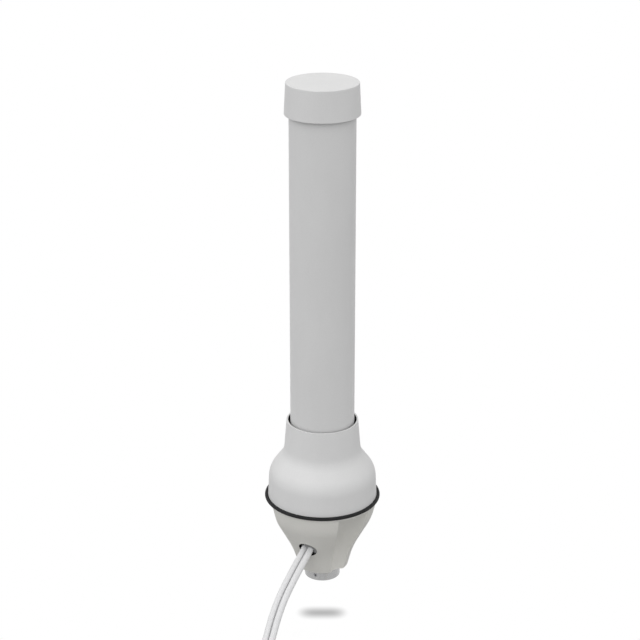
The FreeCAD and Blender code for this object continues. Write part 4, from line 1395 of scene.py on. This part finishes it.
@dataclass
class TwinCable:
    """Two bonded coaxial cables, from their clamp to their plugs."""

    diameter: float = 0.0051
    spacing: float = 0.00511
    length: float = 2.0
    section_steps: int = 6
    curve_steps: int = 18
    winding: CoilWinding = field(default_factory=CoilWinding)
    # The middle of the pair: x, y, z and the twist in degrees; at 90 b stands on a.
    lead_route: tuple[tuple[float, float, float, float], ...] = (
        (0.0, -0.012, 0.084, 0.0),
        (0.0, -0.012, 0.041, 0.0),
        (-0.0004, -0.058, 0.026, 0.0),
        (-0.0015, -0.0845, 0.011, 0.0),
        (-0.0008, -0.108, -0.016, -2.0),
        (-0.0042, -0.127, -0.0295, 60.0),
        (-0.0066, -0.145, -0.032, 90.0),
    )
    tail_routes: dict[Side, tuple[tuple[float, float, float], ...]] = field(
        default_factory=lambda: {
            Side.A: (
                (0.0806, -0.145, -0.0242),
                (0.0806, -0.127, -0.0252),
                (0.074, -0.106, -0.0342),
                (0.0665, -0.088, -0.0331),
                (0.0665, -0.072, -0.0331),
            ),
            Side.B: (
                (0.0806, -0.145, -0.019),
                (0.0806, -0.127, -0.0196),
                (0.0804, -0.106, -0.031),
                (0.078, -0.088, -0.0331),
                (0.078, -0.072, -0.0331),
            ),
        }
    )

    def lead_points(self, side: Side) -> list[Vector]:
        """One cable's points beside the middle of the pair.

        Args:
            side: Which cable.

        Returns:
            The points from the clamp to the coil.
        """
        middles = [Vector(spot[:3]) for spot in self.lead_route]
        last = len(middles) - 1
        points = []
        for index, middle in enumerate(middles):
            along = middles[min(index + 1, last)] - middles[max(index - 1, 0)]
            along.normalize()
            level = (Vector((1.0, 0.0, 0.0)) - along * along.x).normalized()
            upward = along.cross(level)
            twist = math.radians(self.lead_route[index][3])
            shift = level * math.cos(twist) + upward * math.sin(twist)
            points.append(middle + shift * (self.spacing / 2.0 * side.sign))
        return points

    def route(self, side: Side) -> list[Vector]:
        """All of one cable's control points, from its clamp to its plug.

        Args:
            side: Which cable.

        Returns:
            The points.
        """
        lead = self.lead_points(side)
        tail = [Vector(point) for point in self.tail_routes[side]]
        return lead + self.winding.points(lead[-1].z) + tail

    def make_cord(self, side: Side) -> bpy.types.Object:
        """Makes one cable as a smooth round curve.

        Args:
            side: Which cable.

        Returns:
            The curve object.
        """
        points = self.route(side)
        curve = bpy.data.curves.new(f"cable_{side.letter}", "CURVE")
        curve.dimensions = "3D"
        curve.bevel_depth = self.diameter / 2.0
        curve.bevel_resolution = self.section_steps
        curve.use_fill_caps = True
        spline = curve.splines.new("NURBS")
        spline.points.add(len(points) - 1)
        for target, point in zip(spline.points, points):
            target.co = (*point, 1.0)
        spline.order_u = 3
        spline.use_endpoint_u = True
        spline.resolution_u = self.curve_steps
        return placed(curve.name, curve)

    def build(self) -> None:
        for side in Side:
            cable = self.make_cord(side)
            letter = side.letter
            fit(
                cable, "cable_jacket", "antenna",
                f"cable_lead_{letter}", f"cable_tail_{letter}", "cable_coil",
            )
            carried = [f"coax_{piece}_{letter}" for piece in ("sleeve", "body", "nut")]
            carried += [f"plug_insulator_{letter}", f"plug_pin_{letter}"]
            if side is Side.A:
                carried.append("strap_tie")
            self.lead_points(side)[0]
            LOG.info("cable_%s laid, %.2f m", letter, self.length)


# --- Mast, bell and feed ------------------------------------------------------


@dataclass(frozen=True)
class Mast(KeptPieces):
    """The mast above the bell: the wound tube, its cap and the ring in the cap."""

    pieces: tuple[KeptNode, ...] = (
        KeptNode("radome_tube", "radome_glassfibre"),
        KeptNode("cap_seal_ring", "seal_rubber"),
        KeptNode("top_cap", "cap_plastic"),
    )


@dataclass(frozen=True)
class Bell(KeptPieces):
    """The bell that holds the tube, with its seals and the screws from beneath."""

    pieces: tuple[KeptNode, ...] = (
        KeptNode("bell_housing", "bell_plastic"),
        KeptNode("tube_seal_ring", "seal_rubber"),
        KeptNode("flange_gasket", "gasket_rubber"),
        KeptNode("flange_screws", "screw_steel"),
    )


@dataclass(frozen=True)
class Feed:
    """What the tube hides: the carrier, the board, its dipoles, leads and spacers."""

    spacers: int = 4
    mounting: tuple[KeptNode, ...] = (
        KeptNode("board_carrier", "carrier_plastic"),
        KeptNode("cable_clamp", "clamp_plastic"),
        KeptNode("clamp_screws", "screw_steel"),
    )
    radiator: tuple[KeptNode, ...] = (
        KeptNode("antenna_board", "board_laminate"),
        KeptNode("lower_dipoles", "plate_copper"),
        KeptNode("upper_dipoles", "plate_copper"),
    )

    def build(self) -> None:
        """Dresses the mounting, the radiator, the feed leads and the spacers."""
        for piece in self.mounting + self.radiator:
            piece.dress()
        for side in Side:
            KeptNode(f"feed_lead_{side.letter}", "feed_jacket").dress()
        for number in range(1, self.spacers + 1):
            KeptNode(f"spacer_disc_{number}", "spacer_foam").dress()


# --- Base ---------------------------------------------------------------------


@dataclass
class BaseHousing:
    """The base: a turned bell form, scooped by three flutes, over the collar."""

    # Radius, level and rounding of each corner, in millimetres.
    outside: tuple[tuple[float, float, float], ...] = (
        (0.0, 10.0, 0.0), (20.45, 10.0, 1.0), (25.1, 27.4, 75.0), (39.95, 54.6, 40.0),
        (43.3, 68.0, 0.0), (43.3, 70.3, 0.3), (0.0, 70.3, 0.0),
    )
    inside: tuple[tuple[float, float, float], ...] = (
        (0.0, 30.0, 0.0), (23.5, 30.0, 0.0), (36.95, 54.6, 40.0), (40.3, 68.0, 0.0),
        (40.3, 71.0, 0.0), (0.0, 71.0, 0.0),
    )
    # How far a flute's floor is from the axis, and at which level, in millimetres.
    flute_floor: tuple[tuple[float, float], ...] = (
        (17.0, 9.0), (17.0, 14.0), (17.5, 20.0), (18.6, 28.0), (20.6, 36.0),
        (23.4, 44.0), (27.3, 52.0), (32.0, 60.0), (36.0, 68.0),
    )
    flute_half_angle: float = math.radians(19.5)
    flute_angles: tuple[float, ...] = (90.0, 210.0, 330.0)
    flute_rows: int = 30
    # In millimetres.
    flute_wall: float = 2.2
    flute_start: float = 8.0
    rim_underside: float = 68.0
    hollow_top: float = 72.0
    # In metres.
    collar_bore: float = 0.0142
    bore_span: tuple[float, float] = (0.009, 0.031)
    hole_radius: float = HOLE_RADIUS
    hole_span: tuple[float, float] = (-0.012, 0.012)
    segments: int = 180
    tool_segments: int = 96

    def floor(self, level: float) -> float:
        """The flute floor's radius, smoothly between its given points.

        Args:
            level: The level in millimetres.

        Returns:
            The radius.
        """
        spots = self.flute_floor
        place = min(max(level, spots[0][1]), spots[-1][1])
        index = next(i for i in range(len(spots) - 1) if place <= spots[i + 1][1])
        low, high = spots[index], spots[index + 1]
        before, after = spots[max(index - 1, 0)], spots[min(index + 2, len(spots) - 1)]
        share = (place - low[1]) / (high[1] - low[1])
        width = high[1] - low[1]
        start = (high[0] - before[0]) / (high[1] - before[1]) * width
        end = (after[0] - low[0]) / (after[1] - low[1]) * width
        square, cube = share ** 2, share ** 3
        return (
            low[0] * (2.0 * cube - 3.0 * square + 1.0)
            + start * (cube - 2.0 * square + share)
            + high[0] * (3.0 * square - 2.0 * cube)
            + end * (cube - square)
        )

    def scoop(self, angle: float, top: float, wall: float) -> bpy.types.Object:
        """The tool that cuts a flute, its edges on the body's surface.

        Args:
            angle: Where the flute is, in degrees.
            top: The level where it ends.
            wall: How much wider it cuts, for the hollow behind it.

        Returns:
            The tool.
        """
        outline = rounded(self.outside[1:5])
        turn = math.radians(angle)
        cosine = math.cos(self.flute_half_angle)
        loops = []
        for row in range(self.flute_rows + 1):
            rise = (top - self.flute_start) * row / self.flute_rows
            level = self.flute_start + rise
            floor, skin = self.floor(level), level_on(outline, level)
            middle = (skin ** 2 - floor ** 2) / (2.0 * (skin * cosine - floor))
            reach = middle - floor + wall
            loop = []
            for step in range(self.tool_segments):
                round_way = TURN * step / self.tool_segments
                x = middle + reach * math.cos(round_way)
                y = reach * math.sin(round_way)
                spot = (
                    x * math.cos(turn) - y * math.sin(turn),
                    x * math.sin(turn) + y * math.cos(turn),
                    level,
                )
                loop.append(Vector(spot) * MM)
            loops.append(loop)
        return WORKSHOP.skinned("flute_tool", loops, closed=False)

    def form(
        self, name: str, corners: Sequence[tuple[float, float, float]], top: float,
        wall: float,
    ) -> bpy.types.Object:
        """A turned solid with its three flutes cut.

        Args:
            name: The form's name.
            corners: Its section.
            top: The level where the flutes end.
            wall: How much wider the flutes are.

        Returns:
            The form.
        """
        section = circles(rounded(corners)[1:-1])
        form = WORKSHOP.turned(name, Spindle(), section, self.segments, closed=False)
        scoops = [self.scoop(angle, top, wall) for angle in self.flute_angles]
        WORKSHOP.drilled(form, scoops)
        return form

    def build(self) -> None:
        """Makes the base, hollows it, drills it and dresses it."""
        base = self.form("fluted_base", self.outside, self.rim_underside, 0.0)
        drills = [self.form("base_hollow", self.inside, self.hollow_top, self.flute_wall)]
        for name, spindle, radius, span in (
            ("bore_drill", Spindle(), self.collar_bore, self.bore_span),
            ("hole_drill", CABLE_HOLE, self.hole_radius, self.hole_span),
        ):
            ends = [circle(radius, level) for level in span]
            drill = WORKSHOP.turned(name, spindle, ends, self.tool_segments, closed=False)
            drills.append(drill)
        WORKSHOP.drilled(base, drills)
        fit(base, "base_plastic", "antenna", "base_housing")


@dataclass
class CableBush:
    """The half shell that guides the cables into the base's hole."""

    depth: float = 0.0005
    length: float = 0.0026
    radius: float = 0.00734
    first: float = -25.0
    last: float = 90.0
    outer_steps: int = 18
    saddle: float = 0.0029
    saddle_last: float = -45.0
    saddle_steps: int = 12
    offset: float = 0.0026
    heel: tuple[float, float] = (0.0044, -0.0029)

    def outline(self) -> list[tuple[float, float]]:
        """The bush's face: round outside, and hollowed for the cable inside.

        Returns:
            The outline's points.
        """
        outer = arc(self.radius, self.first, self.last, self.outer_steps)
        hollow = arc(self.saddle, self.last, self.saddle_last, self.saddle_steps)
        inner = [(self.offset + across, up) for across, up in hollow]
        return [*outer, (0.0, self.saddle), *inner, self.heel]

    def build(self) -> None:
        """Makes the bush and dresses it."""
        place = CABLE_HOLE.matrix()
        loops = [
            [place @ Vector((x, y, -level)) for x, y in self.outline()]
            for level in (self.depth, self.depth + self.length)
        ]
        bush = WORKSHOP.skinned("cable_bush", loops, closed=False)
        fit(bush, "bush_plastic", "antenna")


# --- Threaded collar ----------------------------------------------------------


@dataclass
class ThreadedCollar:
    """The collar under the base, with its real mast thread, 14 turns to 25.4 mm."""

    radius: float = 0.0141
    edge: float = 0.0005
    mouth: float = 0.0129
    depth: float = 0.026
    floor_level: float = 0.03
    flange_radius: float = 0.0187
    flange_top: float = 0.033
    flange_edge: float = 0.0003
    thread: Thread = Thread(0.01175, 0.00085, 0.0254 / 14.0, 0.00015)
    core: float = 0.0005
    edge_end: float = -80.0
    segments: int = 120
    grub_level: float = GRUB_LEVEL
    grub_hole: float = 0.00155
    grub_flare: float = 0.00025
    grub_start: float = 0.009
    grub_segments: int = 40
    screw_circle: float = 0.0166
    screw_hole: float = 0.00145
    screw_angles: tuple[float, ...] = (-90.0, 30.0, 150.0)
    screw_segments: int = 32
    clearance: float = 0.001
    screws: tuple[KeptNode, ...] = (
        KeptNode("collar_screws", "screw_steel"),
        KeptNode("grub_screw", "grub_steel"),
    )

    def section(self) -> list[Ring]:
        """The collar's rings, from its mouth up inside and down outside.

        Returns:
            The rings.
        """
        edge, rim = self.edge, self.flange_edge
        fillet = (self.radius - edge, edge)
        return [
            circle(self.radius - edge, 0.0),
            *self.thread.rings(0.0, self.depth, self.mouth),
            circle(self.core, self.depth),
            circle(self.core, self.flange_top),
            circle(self.flange_radius - rim, self.flange_top),
            circle(self.flange_radius, self.flange_top - rim),
            circle(self.flange_radius, self.floor_level + rim),
            circle(self.flange_radius - rim, self.floor_level),
            circle(self.radius, self.floor_level),
            *round_edge(fillet, edge, 0.0, self.edge_end),
        ]

    def drills(self) -> list[bpy.types.Object]:
        """The tools that cut the grub screw's hole and the flange's holes.

        Returns:
            The tools.
        """
        deep, shallow = self.radius - self.grub_flare, self.radius + self.grub_flare
        wide = self.grub_hole + 2.0 * self.grub_flare
        side = Spindle((0.0, 0.0, self.grub_level), (0.0, -1.0, 0.0))
        rings = [
            circle(self.grub_hole, self.grub_start), circle(self.grub_hole, deep),
            circle(wide, shallow), circle(wide, self.radius + self.clearance),
        ]
        grub = WORKSHOP.turned("grub_drill", side, rings, self.grub_segments, closed=False)
        made = [grub]
        ends = [
            circle(self.screw_hole, self.floor_level - self.clearance),
            circle(self.screw_hole, self.flange_top + self.clearance),
        ]
        for angle in self.screw_angles:
            axis = Spindle(tuple(around(self.screw_circle, math.radians(angle), 0.0)))
            drill = WORKSHOP.turned(
                "flange_drill", axis, ends, self.screw_segments, closed=False
            )
            made.append(drill)
        return made

    def build(self) -> None:
        """Makes the collar and dresses it."""
        rings = self.section()
        collar = WORKSHOP.turned("threaded_collar", Spindle(), rings, self.segments)
        WORKSHOP.drilled(collar, self.drills())
        fit(collar, "collar_metal", "antenna", "thread_collar")
        for screw in self.screws:
            screw.dress()


# --- Plugs --------------------------------------------------------------------


@dataclass
class CoaxPlug:
    """One screw-on coaxial plug: its shrink sleeve, knurled body and hexagon nut."""

    side: Side
    start: float = -0.072
    segments: int = 48
    teeth: int = 72
    knurl_radius: float = 0.0034
    knurl_depth: float = 0.00016
    # In millimetres from the plug's start.
    knurl_levels: tuple[float, ...] = (1.9, 2.7, 3.5, 4.3, 5.1)
    nut_radius: float = 0.0046
    nut_chamfer: float = 0.0005
    nut_low: float = 0.0057
    nut_lip: float = 0.0016
    nut_length: float = 0.0075
    nut_neck: float = 0.00245
    nut_mouth: float = 0.0034
    nut_segments: int = 96
    least_chamfer: float = 0.00002
    thread: Thread = Thread(0.00295, 0.00026, 0.0254 / 36.0, 0.00009)

    def spindle(self) -> Spindle:
        """The plug's axis, from the end of its cable towards its pin."""
        x, _, z = PLUG_CENTRES[self.side]
        return Spindle((x, self.start, z), UP_Y)

    def sleeve_rings(self) -> list[Ring]:
        """The shrunk sleeve: thin over the cable, full over the ferrule.

        Returns:
            The rings.
        """
        return circles(
            (
                (2.56, -9.0), (2.72, -9.0), (2.84, -8.85), (2.88, -8.4), (2.87, -6.6),
                (2.9, -5.6), (3.02, -4.9), (3.17, -4.3), (3.23, -3.6), (3.21, -2.6),
                (3.25, -1.4), (3.22, -0.4), (3.26, 0.6), (3.24, 1.15), (3.14, 1.42),
                (3.0, 1.5), (2.56, 1.5),
            )
        )

    def shoulder(self, level: float) -> Ring:
        """One ring of the straight knurl.

        Args:
            level: Its distance from the plug's start.

        Returns:
            The ring.
        """
        half = self.knurl_depth / 2.0
        middle = self.knurl_radius - half
        return lambda angle: (middle + half * math.cos(angle * self.teeth), level)

    def body_rings(self) -> list[Ring]:
        """The body: stem, knurled shoulder, neck, stop ring and barrel.

        Returns:
            The rings.
        """
        back = ((1.9, 0.0), (2.5, 0.0), (2.5, 1.5), (3.2, 1.5), (3.34, 1.64))
        knurl = [self.shoulder(level * MM) for level in self.knurl_levels]
        front = (
            (3.34, 5.36), (3.2, 5.5), (2.4, 5.5), (2.4, 7.5), (2.65, 7.5), (2.75, 7.6),
            (2.75, 8.9), (2.65, 9.0), (2.3, 9.0), (2.3, 12.75), (2.1, 13.0), (1.9, 13.0),
        )
        return [*circles(back), *knurl, *circles(front)]

    def flank(self, level: float, sign: float) -> list[Ring]:
        """A chamfered end of the hexagon.

        Args:
            level: The end face.
            sign: 1 where the nut lies above that face and -1 below.

        Returns:
            The face's ring and the chamfer's, in that order.
        """
        narrow = self.nut_radius - self.nut_chamfer

        def face(angle: float) -> tuple[float, float]:
            """The edge of the flat end face."""
            return min(hexagon(self.nut_radius, angle), narrow), level

        def chamfer(angle: float) -> tuple[float, float]:
            """Where the chamfer meets the flats."""
            reach = hexagon(self.nut_radius, angle)
            return reach, level + sign * max(reach - narrow, self.least_chamfer)

        return [face, chamfer]

    def nut_rings(self) -> list[Ring]:
        """The hexagon nut with its inside lip and thread.

        Returns:
            The rings.
        """
        low, high = self.nut_low, self.nut_low + self.nut_length
        lip_end = low + self.nut_lip
        cut = self.thread.rings(0.0, high - lip_end, self.nut_mouth)
        inside = [self.mirrored(ring, high) for ring in cut]
        return [
            *self.flank(low, 1.0),
            *reversed(self.flank(high, -1.0)),
            *inside,
            circle(self.nut_neck, lip_end),
            circle(self.nut_neck, low),
        ]

    @staticmethod
    def mirrored(ring: Ring, high: float) -> Ring:
        """A thread's row counted down from the nut's open end."""
        return lambda angle: (ring(-angle)[0], high - ring(angle)[1])

    def build(self) -> None:
        """Makes the plug's pieces and dresses them."""
        letter, axis = self.side.letter, self.spindle()
        nut_body = f"plug_nut_{letter}"
        for part, rings, segments, slot, body in (
            ("sleeve", self.sleeve_rings(), self.segments, "sleeve_rubber", "antenna"),
            ("body", self.body_rings(), 4 * self.teeth, "plug_metal", "antenna"),
            ("nut", self.nut_rings(), self.nut_segments, "plug_metal", nut_body),
        ):
            piece = WORKSHOP.turned(f"coax_{part}_{letter}", axis, rings, segments)
            fit(piece, slot, body, f"plug_{part}_{letter}")
        KeptNode(f"plug_insulator_{letter}", "insulator_plastic").dress()
        KeptNode(f"plug_pin_{letter}", "pin_metal").dress()


# --- Coil tie -----------------------------------------------------------------


@dataclass
class StrapTie:
    """A hook-and-loop strap round the coil, its tail lapped over its start."""

    centre: tuple[float, float] = COIL_CENTRE
    direction: float = 70.0
    inner: float = 0.0186
    outer: float = 0.0465
    low: float = -0.0375
    high: float = -0.0161
    corner: float = 0.0036
    corner_steps: int = 8
    width: float = 0.0105
    width_steps: int = 8
    thickness: float = 0.00055
    edge_bulge: float = 0.5
    lap: float = 0.015
    lap_ramp: float = 0.005
    lap_gap: float = 0.00006
    step: float = 0.0009

    def loop(self) -> list[Vector]:
        """The corners of the strap's path as (distance, height), with rounded ends.

        Returns:
            The points.
        """
        radius = self.corner
        corners = (
            (self.outer, self.high, 90.0), (self.outer, self.low, 0.0),
            (self.inner, self.low, -90.0), (self.inner, self.high, -180.0),
        )
        points = []
        for out, level, start in corners:
            inward = 1.0 if out == self.inner else -1.0
            upward = 1.0 if level == self.low else -1.0
            middle = Vector((out + inward * radius, level + upward * radius))
            bend = arc(radius, start, start - 90.0, self.corner_steps)
            points.extend(middle + Vector(spot) for spot in bend)
        return points

    def path(self) -> list[tuple[Vector, Vector, float]]:
        """The strap's middle line.

        Returns:
            Each point, its outward normal and its distance along the strap.
        """
        seam = (self.inner + self.outer) / 2.0 - self.lap / 2.0
        ends = Vector((seam, self.high)), Vector((seam + self.lap, self.high))
        line = [ends[0], *self.loop(), ends[1]]
        spots: list[tuple[Vector, Vector, float]] = []
        run = 0.0
        for before, after in zip(line, line[1:]):
            gap = after - before
            along = gap.normalized()
            outward = Vector((-along.y, along.x))
            count = max(1, round(gap.length / self.step))
            for index in range(count):
                share = index / count
                spots.append((before + gap * share, outward, run + gap.length * share))
            run += gap.length
        spots.append((line[-1], outward, run))
        ramp_start = run - self.lap - self.lap_ramp
        lifted = []
        for spot, outward, run in spots:
            share = eased((run - ramp_start) / self.lap_ramp)
            rise = share * (self.thickness + self.lap_gap)
            lifted.append((spot + outward * rise, outward, run))
        return lifted

    def section(self) -> list[tuple[float, float]]:
        """The strap's section.

        Returns:
            Each point's place across the strap and its height over the middle line.
        """
        half, thick = self.width / 2.0, self.thickness / 2.0
        edge = half + thick * self.edge_bulge
        places = range(self.width_steps + 1)
        across = [half * (index / self.width_steps * 2.0 - 1.0) for index in places]
        top = [(reach, thick) for reach in across]
        bottom = [(reach, -thick) for reach in reversed(across)]
        return [*top, (edge, 0.0), *bottom, (-edge, 0.0)]

    def build(self) -> None:
        """Makes the strap as one band with closed ends and dresses it."""
        shape = bmesh.new()
        strap_map = shape.loops.layers.uv.new(STRAP_MAP)
        section, rows, runs = self.section(), [], {}
        for spot, outward, run in self.path():
            row = []
            for reach, lift in section:
                distance, level = spot + outward * lift
                turn = math.radians(self.direction) + reach / distance
                vertex = shape.verts.new(around(distance, turn, level, self.centre))
                runs[vertex] = (run, reach)
                row.append(vertex)
            rows.append(row)
        WORKSHOP.skin(shape, rows, closed=False)
        for face in shape.faces:
            for corner in face.loops:
                corner[strap_map].uv = runs[corner.vert]
        strap = WORKSHOP.finish("strap_tie", shape)
        fit(strap, "tie_fabric", "antenna", "coil_tie")


# --- Studio -------------------------------------------------------------------


@dataclass(frozen=True)
class Lamp:
    """A large soft lamp that hangs far away, so that its light is even.

    The rise is its height over the floor, the turn how far it stands to the left of
    the camera and the spread how wide it looks from the antenna, all in degrees. The
    strength is its light on a face square to it, in watts per square metre.
    """

    name: str
    rise: float
    turn: float
    spread: float
    strength: float


@dataclass
class Studio:
    """The camera, the pale floor and the soft light."""

    azimuth: float = 23.4
    reach: float = 1.31787
    camera_height: float = 0.7456
    aim_height: float = 0.2196
    aim_left: float = 0.00185
    lens: float = 104.284
    floor_level: float = -0.0378
    floor_size: float = 30.0
    floor_tone: float = 0.32
    # The floor's painted shadow: an ellipse under the collar and contact shade near other
    # pieces.
    shadow_reach: float = 0.07
    shadow_half: tuple[float, float] = (0.0216, 0.0118)
    shadow_tone: float = 0.485
    shadow_edge: float = 1.1
    shadow_gain: float = 12.0
    shadow_samples: int = 32
    contact_tone: float = 0.5
    contact_span: tuple[float, float] = (0.3, 0.8)
    sky_light: float = 0.545
    lamps: tuple[Lamp, ...] = (
        Lamp("front_lamp", 42.0, 0.0, 60.0, 0.96),
        Lamp("left_lamp", 35.0, 90.0, 60.0, 0.7),
        Lamp("right_lamp", 35.0, -90.0, 60.0, 0.3),
        Lamp("back_lamp", 45.0, 180.0, 60.0, 0.15),
    )

    def across(self) -> Vector:
        """The level direction to the right of the camera's view."""
        turn = math.radians(self.azimuth)
        return Vector((math.cos(turn), math.sin(turn), 0.0))

    def toward_camera(self) -> Vector:
        """The level direction from the mast to the camera."""
        turn = math.radians(self.azimuth)
        return Vector((math.sin(turn), -math.cos(turn), 0.0))

    def add_camera(self) -> None:
        """Stands the camera and makes it the scene's own."""
        data = bpy.data.cameras.new("camera")
        data.lens = self.lens
        camera = placed("camera", data)
        spot = self.toward_camera() * self.reach + Vector((0.0, 0.0, self.camera_height))
        aim = Vector((0.0, 0.0, self.aim_height)) - self.across() * self.aim_left
        camera.location = spot
        camera.rotation_euler = (aim - spot).to_track_quat("-Z", "Y").to_euler()
        bpy.context.scene.camera = camera

    @staticmethod
    def bare_graph(owner: Union[bpy.types.Material, bpy.types.World]) -> Graph:
        """The node tree of a material or a world, emptied.

        Args:
            owner: What has the tree.

        Returns:
            The tree with short calls.
        """
        owner.use_nodes = True
        owner.node_tree.nodes.clear()
        return Graph(owner.node_tree)

    def shown_rays(self, graph: Graph) -> bpy.types.NodeSocket:
        """1 for what the eye, a gloss or a clear piece sees, 0 for soft light.

        Args:
            graph: The material's or world's nodes.

        Returns:
            The share.
        """
        path = graph.add("ShaderNodeLightPath").outputs
        direct = graph.math("MAXIMUM", path["Is Camera Ray"], path["Is Glossy Ray"])
        return graph.math("MAXIMUM", direct, path["Is Transmission Ray"])

    def open_share(self, graph: Graph) -> bpy.types.NodeSocket:
        """How bright the floor's glow looks, with the antenna's shadow painted into it.

        Close under a piece the painted shadow darkens as nearby surfaces hide more of the
        floor. Under the hanging collar the painted shadow is gathered into an ellipse round
        the mast's axis, longer across than along.

        Args:
            graph: The floor's nodes.

        Returns:
            The brightness from 0 to 1.
        """
        free = graph.openness(self.shadow_reach, self.shadow_samples)
        # Painted contact shadow where a piece lies close to the floor.
        painted_contact_shadow = graph.remap(free, *self.contact_span, self.contact_tone, 1.0, "LINEAR")
        # A painted shadow ellipse round the mast's axis, as dark as the collar hides the
        # floor.
        where = graph.add("ShaderNodeNewGeometry").outputs["Position"]
        sides = []
        for direction, half in zip((self.across(), self.toward_camera()), self.shadow_half):
            share = graph.vector("DOT_PRODUCT", where, tuple(direction / half))
            sides.append(graph.math("MULTIPLY", share, share))
        flat = graph.math("MULTIPLY_ADD", sides[0], sides[0], sides[1])
        away, depth = graph.math("SQRT", flat), 1.0 - self.shadow_tone
        painted_shadow_ellipse = graph.remap(away, 0.0, self.shadow_edge, depth, 0.0)
        hidden = graph.math("SUBTRACT", 1.0, free)
        steep = graph.math("MULTIPLY", hidden, self.shadow_gain)
        covered = graph.math("MINIMUM", steep, 1.0)
        shadow = graph.math("MULTIPLY", covered, painted_shadow_ellipse)
        return graph.math("MULTIPLY", painted_contact_shadow, graph.math("SUBTRACT", 1.0, shadow))

    def add_floor(self) -> None:
        """Lays the floor: pale paper that glows white, with the shadow painted into the
        glow.
        """
        half = self.floor_size / 2.0
        mesh = bpy.data.meshes.new("floor")
        corners = [(-half, -half), (half, -half), (half, half), (-half, half)]
        mesh.from_pydata([(x, y, self.floor_level) for x, y in corners], [], [(0, 1, 2, 3)])
        floor = placed("floor", mesh)
        material = bpy.data.materials.new("floor_paper")
        graph = self.bare_graph(material)
        paper = graph.add(
            "ShaderNodeBsdfDiffuse", {"Color": (self.floor_tone,) * 3 + (1.0,)}
        )
        glow = graph.add(
            "ShaderNodeEmission", {"Color": LIGHT, "Strength": self.open_share(graph)}
        )
        shown = graph.add(
            "ShaderNodeMixShader",
            {0: self.shown_rays(graph), 1: paper.outputs[0], 2: glow.outputs[0]},
        )
        graph.add("ShaderNodeOutputMaterial", {"Surface": shown.outputs[0]})
        mesh.materials.append(material)

    def add_sky(self) -> None:
        """Lights from all round, and shows white behind and in reflections."""
        world = bpy.data.worlds.new("sky")
        graph = self.bare_graph(world)
        strength = graph.math(
            "MULTIPLY_ADD", self.shown_rays(graph), 1.0 - self.sky_light, self.sky_light
        )
        sky = graph.add("ShaderNodeBackground", {"Color": LIGHT, "Strength": strength})
        graph.add("ShaderNodeOutputWorld", {"Surface": sky.outputs[0]})
        bpy.context.scene.world = world

    def add_lamp(self, lamp: Lamp) -> None:
        """Hangs a lamp that points at the antenna.

        Args:
            lamp: The lamp.
        """
        data = bpy.data.lights.new(lamp.name, "SUN")
        data.angle = math.radians(lamp.spread)
        data.energy = lamp.strength
        hung = placed(lamp.name, data)
        rise, turn = math.radians(lamp.rise), math.radians(lamp.turn)
        level = self.toward_camera() * math.cos(turn) - self.across() * math.sin(turn)
        away = level * math.cos(rise) + Vector((0.0, 0.0, math.sin(rise)))
        hung.location = away * self.reach
        hung.rotation_euler = away.to_track_quat("Z", "Y").to_euler()

    def build(self) -> None:
        """Makes the whole studio."""
        bpy.context.scene.view_settings.view_transform = "Standard"
        self.add_camera()
        self.add_floor()
        self.add_sky()
        for lamp in self.lamps:
            self.add_lamp(lamp)
        LOG.info("studio stands")


def main() -> None:
    """Builds the studio and every sub-assembly."""
    logging.basicConfig(level=logging.INFO, format="%(name)s: %(message)s")
    Studio().build()
    Mast().build()
    Bell().build()
    Feed().build()
    BaseHousing().build()
    CableBush().build()
    ThreadedCollar().build()
    for side in Side:
        CoaxPlug(side).build()
    StrapTie().build()
    TwinCable().build()


if __name__ == "__main__":
    main()
